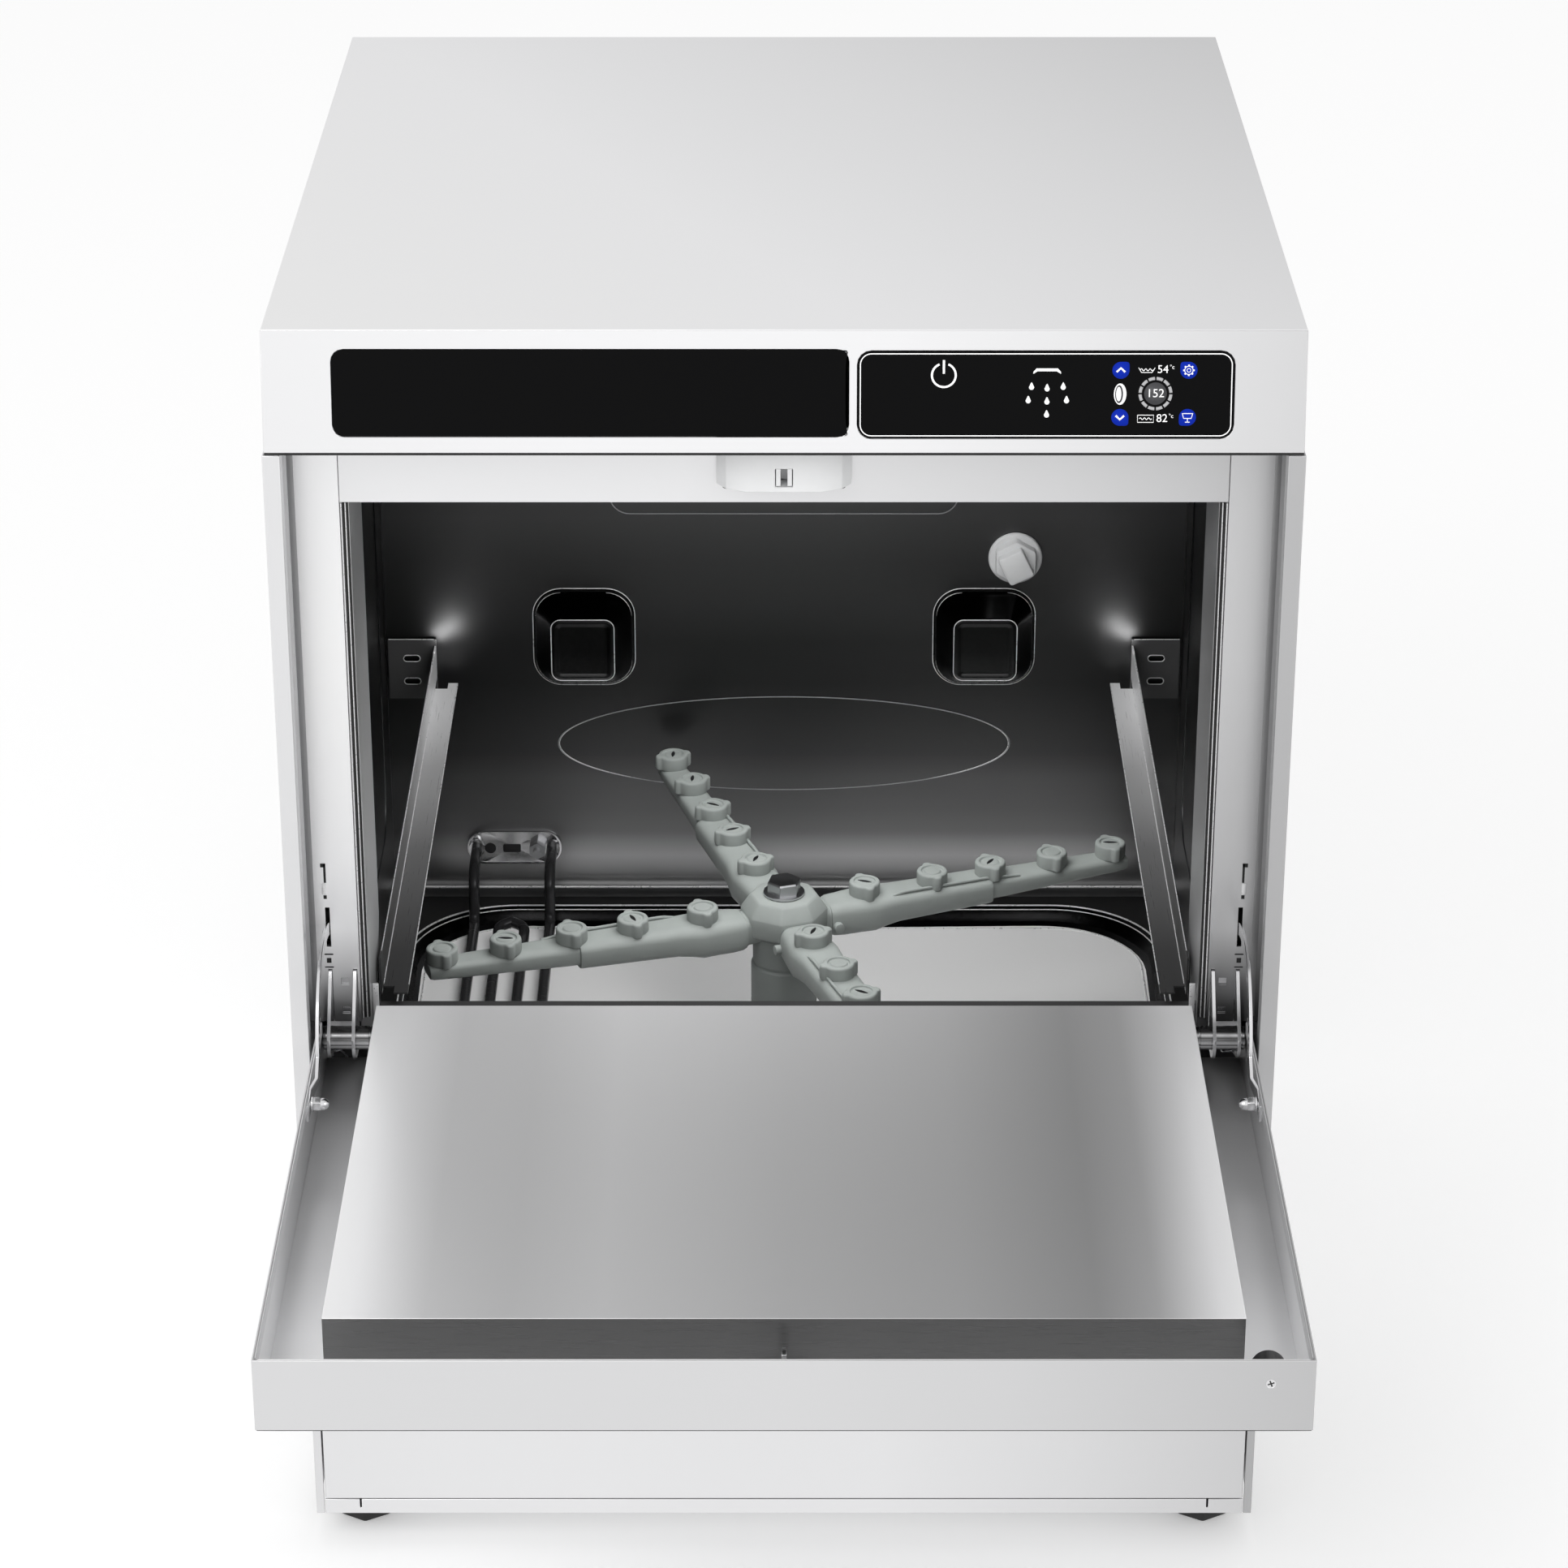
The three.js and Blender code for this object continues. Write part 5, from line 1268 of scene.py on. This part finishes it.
flange = wall_plate(flange_outline, [(1, 0), (1, 2.6), (0.985, 3.4), (0.95, 3.5), (0.92, 2.2), (0.9, 2.0),
                                     (0.1, 2.0)],
                    HEATER_X, HEATER_Z)
make("heater_flange", flange, bright_steel, "cabinet")
collars = [lathe([(6, 0), (6, 4), (5, 6), (4.2, 6.4)][::-1], "y", (x, BACK - 6.2, HEATER_Z)) for x in
           (HEATER_X - LEG_OUT, HEATER_X + LEG_OUT)]
make("heater_collars", together(*collars), bright_steel, "cabinet")
sensor_slot = wall_plate(rounded_rect(13, 6.5, 0.8, 4), [(1, 1.6), (1, 2.3), (0.9, 2.4)], HEATER_X - 2,
                         HEATER_Z - 1)
sensor_hole = wall_plate(circle(4.2, 24), [(1, 1.6), (1, 2.3), (0.9, 2.4)], HEATER_X - 18, HEATER_Z - 1)
# painted shade: black plates stand for the dark inside the sensor slot and hole
make("heater_openings", together(sensor_slot, sensor_hole), black_plastic, "cabinet")
bolt = together(stack(polygon(6.6, 6, 0.08), [(1, BACK - 8), (1, BACK - 4), (1, BACK - 2)], "y",
                      (HEATER_X + 17, 0, HEATER_Z - 1)),
                lathe([(3.0, BACK - 13), (3.0, BACK - 8)], "y", (HEATER_X + 17, 0, HEATER_Z - 1), 20))
make("heater_bolt", bolt, zinc, "cabinet")
print("heater fitted")

# %% [markdown]
# ## Rinse inlet
# A pale plastic fitting: a round flange with a soft rim, a hexagon and a square cap turned a little
# on its axis.

# %% Rinse inlet
inlet_low, inlet_high = span("rinse_inlet_fitting")
inlet_x, inlet_z = (inlet_low[0] + inlet_high[0]) / 2, (inlet_low[2] + inlet_high[2]) / 2
rim = wall_plate(circle(19.5, 56), [(0.9, 0), (0.98, 0.4), (1, 1.4), (0.98, 3.2), (0.93, 4), (0.8, 4.3)],
                 inlet_x, inlet_z)
hexagon = wall_plate(polygon(16.6, 6, 0.12, turn=np.pi / 6), [(1, 3), (1, 11.2), (0.97, 12), (0.9, 12.3)],
                     inlet_x, inlet_z)
tip = 0.45
cap_outline = rounded_rect(19, 22, 2.4, 5) @ np.array([[math.cos(tip), math.sin(tip)],
                                                       [-math.sin(tip), math.cos(tip)]])
cap = wall_plate(cap_outline, [(1, 11.5), (1, 19), (0.97, 19.8), (0.9, 20.2)], inlet_x, inlet_z - 1)
make("rinse_inlet_moulding", together(rim, hexagon, cap), fitting_plastic, "cabinet",
     ["rinse_inlet_fitting"])
print("rinse inlet fitted")

# %% [markdown]
# ## Wash arms
# Each arm is a tapering box with rounded corners, a superellipse whose width and height change
# along its length. A sleeve runs over the inner half and ends in a clear step. Along the top stand
# five nozzle caps: short drums with two ears, some domed and some with a slit.

# %% Arm sections
def superellipse(width, height, exponent=3.4, count=28):
    """Closed section |a|^p + |b|^p = 1, scaled to a width and a height."""
    angle = np.linspace(0, 2 * np.pi, count, endpoint=False)
    cosine, sine = np.cos(angle), np.sin(angle)
    return np.stack([width / 2 * np.sign(cosine) * np.abs(cosine) ** (2 / exponent),
                     height / 2 * np.sign(sine) * np.abs(sine) ** (2 / exponent)], axis=-1)


def arm_tube(stations, side):
    """Sections at each (distance, width, height, drop) along X; the top face stays level, so the
    section hangs below it. `side` is 1 for jets up and -1 for jets down."""
    rings = []
    for distance, width, height, drop in stations:
        section = superellipse(width, height)
        rings.append(np.column_stack([np.full(len(section), distance), section[:, 0],
                                      side * (section[:, 1] - height / 2 - drop)]))
    return skin(rings)


ARM_LEVEL = span("lower_wash_arm_1")[1][2] - 9.0
column_low, column_high = span("arm_column")
ARM_Y = (column_low[1] + column_high[1]) / 2
ARM_FIRST = math.radians(19.5)
NOZZLES = (58.5, 108.0, 151.0, 197.0, 241.0)
INNER = [(30.5, 27, 22, 2), (33, 29, 24, 1), (40, 30, 25, 0.6), (52, 33, 25, 0), (62, 35, 25, 0),
         (70, 33, 23, 0), (80, 30.5, 21.5, 0), (120, 29.4, 20, 0), (147, 28.6, 19, 0),
         (148.4, 28.0, 18.4, 0.3), (148.8, 24.6, 16, 0.8)]
OUTER = [(146, 24.4, 15.8, 0.8), (156, 24.2, 15.6, 0.8), (200, 21.6, 13.2, 0.8), (242, 19.6, 11.0, 0.8),
         (248.8, 18.8, 10.4, 0.9), (251.2, 17.2, 9.2, 1.4), (252, 13.5, 6.4, 2.6)]
print("arms run out to", OUTER[-1][0], "mm at level", round(float(ARM_LEVEL)))


# %% [markdown]
# A cap is a circle with two humps, one at each ear. A hump is exp(-(a / w)^4), a bell with a flat
# top, in the angle a from the ear.

# %% Nozzle caps
def cap_surface(distance, side, slit):
    """Drum with two ears. Its radius is a circle plus a smooth hump at each ear; rings run up the
    wall, over the edge, into a shallow channel and up a low dome."""
    angle = np.linspace(0, 2 * np.pi, 72, endpoint=False)
    ear = np.exp(-((np.abs(np.abs(((angle + np.pi) % (2 * np.pi)) - np.pi) - np.pi / 2)) / 0.26) ** 4)
    wall = 10.6 + 2.6 * ear
    direction = np.stack([np.cos(angle), np.sin(angle)], axis=-1)
    rows = [(0.94, 0, -1.4), (0.97, 0, -1.2), (1.0, 0, 0.0), (1.0, 0, 7.2), (0.985, 0, 8.0),
            (0.95, 0, 8.6), (0.9, 0, 8.9)]
    rows += [(0, 8.4, 9.0), (0, 7.6, 8.9), (0, 7.2, 8.0), (0, 6.4, 7.7), (0, 5.8, 8.0)]
    rows += [(0, 5.4, 8.7), (0, 4.2, 8.95), (0, 2.4, 9.0), (0, 0.6, 9.0)] if not slit else [
        (0, 5.2, 8.4), (0, 4.0, 8.5), (0, 2.4, 8.55), (0, 0.6, 8.55)]
    rings = []
    for share, radius, height in rows:
        reach = wall * share if share else np.full_like(angle, radius)
        ring = direction * reach[:, None]
        rings.append(np.column_stack([distance + ring[:, 0], ring[:, 1],
                                      side * (np.full(len(ring), height))]))
    return skin(rings)


def slit_surface(distance, side, turned_by):
    """Leaf-shaped opening on a slit nozzle: two arcs that meet in points, as a shallow dark inlay of
    painted shade.
    """
    t = np.linspace(-1, 1, 13)
    half = np.stack([5.0 * t, 1.3 * (1 - t ** 2)], axis=-1)
    leaf = np.vstack([half, half[::-1][1:-1] * np.array([1, -1])])
    c, s = math.cos(turned_by), math.sin(turned_by)
    leaf = leaf @ np.array([[c, s], [-s, c]]) + np.array([distance, 0])
    rings = [np.column_stack([leaf, np.full(len(leaf), side * h)]) for h in (8.1, 8.75)]
    return skin(rings)


def swung(surface, swing, level):
    """Surface turned about the arm's upright axis and lifted to its level."""
    points, faces = surface
    angle = math.radians(swing)
    c, s = math.cos(angle), math.sin(angle)
    spin = np.array([[c, s, 0], [-s, c, 0], [0, 0, 1]])
    return points @ spin + np.array([0, ARM_Y, level]), faces


def arm_surface(side, slits, swing, level):
    """Sleeve, tube, rib and caps of one arm; and its slit openings."""
    rib = eased_path([(76, -9.5, -1.2 * side), (84, -9.5, 0.7 * side), (150, -8.6, 0.7 * side),
                      (170, -8.2, -1.6 * side)], 5)
    solids = [arm_tube(INNER, side), arm_tube(OUTER, side), tube(rib, 1.1, 8, (0.1, 1, 0.1))]
    solids += [cap_surface(distance, side, distance in slits) for distance in NOZZLES]
    leaves = [slit_surface(distance, side, 0.5 + distance) for distance in slits]
    return [swung(together(*group), swing, level) for group in (solids, leaves)]


# %% [markdown]
# Four arms come from the same numbers, each swung 90 degrees from the last. Only their slits
# differ.

# %% Lower arms, hub and bolt
first_degrees = math.degrees(ARM_FIRST)
SLITS = [NOZZLES[0::2], NOZZLES, NOZZLES[1::2], NOZZLES[0:3:2]]
for arm_index, slits in enumerate(SLITS):
    body_surface, leaf_surface = arm_surface(1, slits, first_degrees + 90 * arm_index, ARM_LEVEL)
    make(f"lower_arm_{arm_index + 1}", body_surface, arm_plastic, "lower_arms",
         [f"lower_wash_arm_{arm_index + 1}"], smooth=38)
    make(f"lower_arm_slits_{arm_index + 1}", leaf_surface, black_plastic, "lower_arms")

hub_low, hub_high = span("arm_hub")
octagon = polygon(30, 8, 0.10, turn=ARM_FIRST + np.pi / 8)
hub = stack(octagon, [(0.78, hub_low[2]), (0.82, hub_low[2] + 0.6), (0.97, hub_low[2] + 3.4),
                      (1, hub_low[2] + 5), (1, hub_high[2] - 10.6), (0.985, hub_high[2] - 9.6),
                      (0.8, hub_high[2] - 1.6), (0.76, hub_high[2] - 0.5), (0.72, hub_high[2])],
            centre=(0, ARM_Y, 0))
sockets = []
for quarter in range(4):
    sleeve = skin([np.column_stack([np.full(28, d), superellipse(w, h)[:, 0],
                                    superellipse(w, h)[:, 1] - 12.6])
                   for d, w, h in ((20, 22, 19), (28.6, 24, 20), (29.6, 25.4, 21.4), (30.3, 25.4, 21.4),
                                   (30.8, 24, 20))])
    sockets.append(swung(sleeve, first_degrees + 90 * quarter, ARM_LEVEL))
lugs = [swung(lathe([(2.2, 0), (3.4, 0.5), (3.4, 5), (2.4, 5.6), (0.8, 5.7)], "y", (34, -19, -15), 20),
              first_degrees + 90 * quarter, ARM_LEVEL) for quarter in range(4)]
make("hub_moulding", together(hub, *sockets, *lugs), arm_plastic, "lower_arms",
     ["arm_hub"])
bolt_low, bolt_high = span("hub_bolt")
washer = lathe([(8, bolt_low[2]), (13.6, bolt_low[2]), (14, bolt_low[2] + 0.4), (14, bolt_low[2] + 1.5),
                (13.6, bolt_low[2] + 1.9), (8, bolt_low[2] + 1.9)], centre=(0, ARM_Y, 0))
hexagon_head = stack(polygon(11.8, 6, 0.05, turn=0.3), [(1, bolt_low[2] + 1.9), (1, bolt_high[2] - 1.3),
                                                        (0.93, bolt_high[2] - 0.2),
                                                       (0.88, bolt_high[2])], centre=(0, ARM_Y, 0))
make("hub_bolt_head", together(washer, hexagon_head), zinc, "lower_arms", ["hub_bolt"],
     smooth=25)
print("lower arms with", 4 * len(NOZZLES), "nozzles")

# %% [markdown]
# The column is a lathed profile with shallow grooves, wider below and narrower above.

# %% Column
column = lathe([(17, column_low[2]), (22, column_low[2]), (22.5, column_low[2] + 0.5), (22.5, 228.6),
                (22.1, 229), (22.1, 229.8), (22.5, 230.2), (22.5, 256), (22.1, 256.6), (20.6, 257.2),
                (20.6, 258.6), (21.3, 259.4), (21.3, column_high[2] - 0.8), (20.6, column_high[2]),
                (17, column_high[2])], centre=(0, ARM_Y, 0), count=64)
make("column_moulding", column, column_plastic, "cabinet", ["arm_column"])
print("column turned")

# %% [markdown]
# The upper arm hangs from the ceiling with its jets down. It is the same arm turned over, two
# of them on one hub, which is why the arm functions take a side.

# %% Upper arm
UPPER_LEVEL, UPPER_FIRST = 676.0, 24.0
upper_parts = [arm_surface(-1, NOZZLES[1::2], UPPER_FIRST + half_turn, UPPER_LEVEL)
               for half_turn in (0, 180)]
upper_hub = stack(polygon(36, 8, 0.1, turn=math.radians(UPPER_FIRST + 22.5)),
                  [(0.8, UPPER_LEVEL - 15.6), (0.97, UPPER_LEVEL - 12), (1, UPPER_LEVEL - 9),
                   (1, UPPER_LEVEL + 10), (0.9, UPPER_LEVEL + 14)], centre=(0, ARM_Y, 0))
make("upper_arm_moulding", together(upper_hub, *[p[0] for p in upper_parts]), arm_plastic, "upper_arms",
     ["upper_wash_arm"], smooth=38)
make("upper_arm_slits", together(*[p[1] for p in upper_parts]), black_plastic, "upper_arms")
print("upper arm hangs at", UPPER_LEVEL, "mm")

# %% [markdown]
# ## Hinges, links and springs
# The hinge shafts are bright turned bars with a groove at each end. The brackets and the bowed link
# arms are flat steel, so they are softened. The balance spring is a real coil: a helix with closed
# turns at its ends, which gets shorter as the door shuts.

# %% Shafts, brackets and links
for side in ("left", "right"):
    sign = 1 if side == "right" else -1
    low, high = span(f"hinge_shaft_{side}")
    radius = (high[2] - low[2]) / 2
    middle = ((low[1] + high[1]) / 2, (low[2] + high[2]) / 2)
    ends = sorted([low[0], high[0]])
    shaft = lathe([(radius - 1.2, ends[0]), (radius - 0.2, ends[0] + 0.8), (radius, ends[0] + 1.2),
                   (radius, ends[0] + 3), (radius - 0.6, ends[0] + 3.3), (radius - 0.6, ends[0] + 4),
                   (radius, ends[0] + 4.3), (radius, ends[1] - 3.4), (radius - 0.6, ends[1] - 3.1),
                   (radius - 0.6, ends[1] - 2.4), (radius, ends[1] - 2.1), (radius, ends[1] - 1),
                   (radius - 1, ends[1])], "x", (0, *middle), 56)
    make(f"shaft_{side}", shaft, round_bar, "door", [f"hinge_shaft_{side}"])
    soften(f"hinge_bracket_{side}", bright_steel, "cabinet", 0.35)
    soften(f"link_arm_{side}", bright_steel, f"link_{side}", 0.3, angle=40)
print("hinges assembled")


# %% [markdown]
# A nut is a dome, a hexagon and a washer along one axis. In a helix the angle grows evenly while the
# height follows a ramp that is slow at both ends, where the turns touch.

# %% Acorn nuts and springs
def link_bolt_surface(side):
    """Head outside the rim, then washer, hexagon and dome inside, all along X."""
    sign = 1 if side == "right" else -1
    low, high = span(f"link_bolt_{side}")
    centre = (0, (low[1] + high[1]) / 2, (low[2] + high[2]) / 2)
    inner = min(abs(low[0]), abs(high[0]))
    outer = max(abs(low[0]), abs(high[0]))

    def along(profile):
        """Profile with its heights mirrored for the left side."""
        return [(r, sign * h) for r, h in profile]

    dome = [(0.5, inner), (2.0, inner + 0.35), (3.1, inner + 1.5), (3.7, inner + 3.2), (3.8, inner + 5.2)]
    return together(lathe(along(dome), "x", centre, 32),
                    stack(polygon(4.6, 6, 0.08, turn=0.4),
                          along([(0.93, inner + 5), (1, inner + 5.6), (1, inner + 9.2),
                                                                 (0.93, inner + 9.6)]), "x", centre),
                    lathe(along([(2.6, inner + 9.5), (4.8, inner + 9.5), (4.8, inner + 10.5),
                                 (2.6, inner + 10.5)]), "x", centre, 32),
                    lathe(along([(2.5, inner + 5), (2.5, outer)]), "x", centre, 24))


def coil_surface(side, wire=0.9, closed_turns=2.0, open_turns=26):
    """Helix whose pitch is tight at both ends and open between: height follows a smoothed ramp of
    the turning angle."""
    low, high = span(f"door_spring_{side}")
    radius = (high[0] - low[0]) / 2 - wire
    centre = (low + high) / 2
    turns = open_turns + 2 * closed_turns
    t = np.linspace(0, 1, int(turns * 14))
    ends = closed_turns / turns
    ramp = np.clip((t - ends) / (1 - 2 * ends), 0, 1)
    closed_rise = closed_turns * wire * 2.1
    height = low[2] + wire + closed_rise * (np.minimum(t, ends) + np.maximum(t - 1 + ends, 0)) / ends
    height += ramp * (high[2] - low[2] - 2 * wire - 2 * closed_rise)
    angle = 2 * np.pi * turns * t
    path = np.column_stack([centre[0] + radius * np.cos(angle), centre[1] + radius * np.sin(angle), height])
    return tube(path, wire, 8, reference=(0, 0, 1))


for side in ("left", "right"):
    make(f"link_bolt_set_{side}", link_bolt_surface(side), bright_steel, "door",
         [f"link_bolt_{side}"], smooth=28)
    spring = make(f"balance_spring_{side}", coil_surface(side), spring_wire, "cabinet",
                  [f"door_spring_{side}"], smooth=60)
    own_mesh(spring)

# %% [markdown]
# ## Door
# The skin is a shallow tray and the liner a lower box inside it. The tray's rim is hemmed: the
# sheet is folded back on itself, which shows as a second line inside the edge. The hem is a thin
# bar that follows the three sides of the rim.

# %% Door sheets
outer_skin = soften("door_skin", door_satin, "door", 0.45)
# painted shade: inside the rim the skin gets the tray's toned copy, dark near the hinge
paint(outer_skin, tray_steel, lambda c, n: (c[:, 1] > -364) & (np.abs(c[:, 0]) < 285.4) & (c[:, 2] > 326)
      & (c[:, 2] < 369.2))
liner = soften("door_liner", liner_steel, "door", 0.5, 3)
# painted shade: the liner's forward-facing faces get a dark copy
paint(liner, liner_front, lambda c, n: n[:, 1] < -0.7)
soften("door_striker", bright_steel, "door", 0.3)
skin_low, skin_high = span("door_skin")
RIM_TOP, REACH, HALF = skin_high[2], skin_low[1], skin_high[0]


def hem_bar(start, end, thick=1.0, tall=8.0):
    """Bar from start to end just inside the rim: a rounded strip `thick` wide and `tall` high."""
    start, end = np.array(start, float), np.array(end, float)
    along = (end - start) / np.linalg.norm(end - start)
    across = np.cross(along, (0, 0, 1))
    section = rounded_rect(thick, tall, 0.45, 4)
    offset = section[:, :1] * across + (section[:, 1:] - tall / 2 - 0.12) * np.array([0, 0, 1])
    return skin([start + offset, end + offset])


inside = 1.2 + 0.15 + 0.5
# painted shade: a black bar along the skin's lower front edge
edge_shade_bar = plain_bar((-HALF + 0.6, HALF - 0.6), (REACH + 0.4, REACH + 2.4),
                      (skin_low[2] - 0.5, skin_low[2] + 0.2))
make("edge_shade_bar", edge_shade_bar, rubber, "door")
hems = [hem_bar((-HALF + 3.4, REACH + inside, RIM_TOP), (HALF - 3.4, REACH + inside, RIM_TOP)),
        hem_bar((-HALF + inside, REACH + 3.4, RIM_TOP), (-HALF + inside, 20, RIM_TOP)),
        hem_bar((HALF - inside, REACH + 3.4, RIM_TOP), (HALF - inside, 20, RIM_TOP))]
make("rim_hems", together(*hems), satin, "door")
print("door hemmed on three sides")

# %% [markdown]
# The magnet sits in a round capsule behind the door front and is held by a cross-head screw.

# %% Magnet and its screw
magnet_low, magnet_high = span("door_magnet")
magnet_x = (magnet_low[0] + magnet_high[0]) / 2
magnet_z = (magnet_low[2] + magnet_high[2]) / 2
start_y = REACH + 1.5
capsule = lathe([(8.6, start_y), (9.5, start_y + 0.8), (9.5, magnet_high[1] - 2.2),
                 (8.9, magnet_high[1] - 0.8), (7.4, magnet_high[1] - 0.1), (2, magnet_high[1])], "y",
                (magnet_x, 0, magnet_z), 48)
make("magnet_capsule", capsule, black_plastic, "door", ["door_magnet"])
screw = lathe([(0.6, REACH + 0.02), (1.6, REACH + 0.02), (2.6, REACH + 0.2), (2.9, REACH + 0.5),
               (2.9, REACH + 1.0)], "y",
              (magnet_x, 0, magnet_z), 36)
make("magnet_screw_head", screw, bright_steel, "door")
print("magnet at", round(float(magnet_x)), "mm from the middle")


# %% [markdown]
# The cross is sorted by the angle of its corners, so that they follow one another round the middle.

# %% Cross recess
def cross_outline(arm=1.9, half=0.42):
    """Plus sign as twelve corners: the three corners of one quarter, turned three times."""
    quarter = np.array([(half, arm), (half, half), (arm, half)])
    turns = [np.array([[0, 1], [-1, 0]]), np.array([[-1, 0], [0, -1]]), np.array([[0, -1], [1, 0]])]
    corners = [quarter[::-1]] + [quarter[::-1] @ m for m in turns]
    return np.vstack(corners)


cross = cross_outline()
around = np.arctan2(cross[:, 1], cross[:, 0])
cross = cross[np.argsort(around)]
tilt = 0.35
cross = cross @ np.array([[math.cos(tilt), math.sin(tilt)], [-math.sin(tilt), math.cos(tilt)]])
rings = [np.column_stack([magnet_x + cross[:, 0], np.full(len(cross), REACH + y), magnet_z + cross[:, 1]])
         for y in (0.01, 0.3)]
# painted shade: the cross recess is a thin black plate on the screw head
make("screw_recess", skin(rings), black_plastic, "door")
print("cross recess cut")

# %% [markdown]
# ## Behind and beneath
# The back panel is held by round-headed screws round its edge and pierced by rows of vent slots
# near the top, where the control board's warmth leaves.

# %% Back panel screws and vents
panel_low, panel_high = span("back_panel")
screw_x = np.linspace(panel_low[0] + 14, panel_high[0] - 14, 4)
screw_z = np.linspace(panel_low[2] + 40, panel_high[2] - 14, 5)
spots = [(x, z) for x in screw_x for z in (screw_z[0] - 28, screw_z[-1])]
spots += [(x, z) for x in (screw_x[0], screw_x[-1]) for z in screw_z[1:-1]]
dome_profile = [(3.6, -1.2), (3.6, -1.0), (3.3, -0.55), (2.4, -0.2), (1.2, -0.05), (0.5, -0.04)]
back_y = panel_high[1]
print(len(spots), "screws hold the back panel")
heads = [lathe([(r, back_y + h) for r, h in dome_profile], "y", (x, 0, z), 24) for x, z in spots]
make("back_screws", together(*heads), zinc, "cabinet")
vents = []
for row in range(4):
    for place in np.linspace(-150, 150, 9):
        slot_outline = rounded_rect(22, 3.2, 1.55, 5)
        slot_rings = [np.column_stack([place + s * slot_outline[:, 0],
                                       np.full(len(slot_outline), back_y + y),
                                       640 + 14 * row + s * slot_outline[:, 1]]) for s,
                      y in ((1, -0.4), (1, -0.02), (0.98, 0.0))]
        vents.append(skin(slot_rings))
# painted shade: each vent slot is a thin black plate standing for the dark behind it
make("back_vents", together(*vents), black_plastic, "cabinet")
print(len(vents), "vent slots")

# %% [markdown]
# ## Floor
# A plain pale floor that the machine stands on. It is not part of the machine, and glossy rays
# pass it by.

# %% Floor
floor_mesh = bpy.data.meshes.new("floor")
floor_mesh.from_pydata([(-12, -12, 0), (12, -12, 0), (12, 12, 0), (-12, 12, 0)], [], [(0, 1, 2, 3)])
floor = bpy.data.objects.new("floor", floor_mesh)
bpy.context.collection.objects.link(floor)
pale = new_material("pale_floor", (0.96, 0.96, 0.96), 0.9, 0.0, Emission_Strength=0.16)
pale.node_tree.nodes["Principled BSDF"].inputs["Emission Color"].default_value = (1, 1, 1, 1)
floor_mesh.materials.append(pale)
floor.visible_glossy = False
print("floor laid")
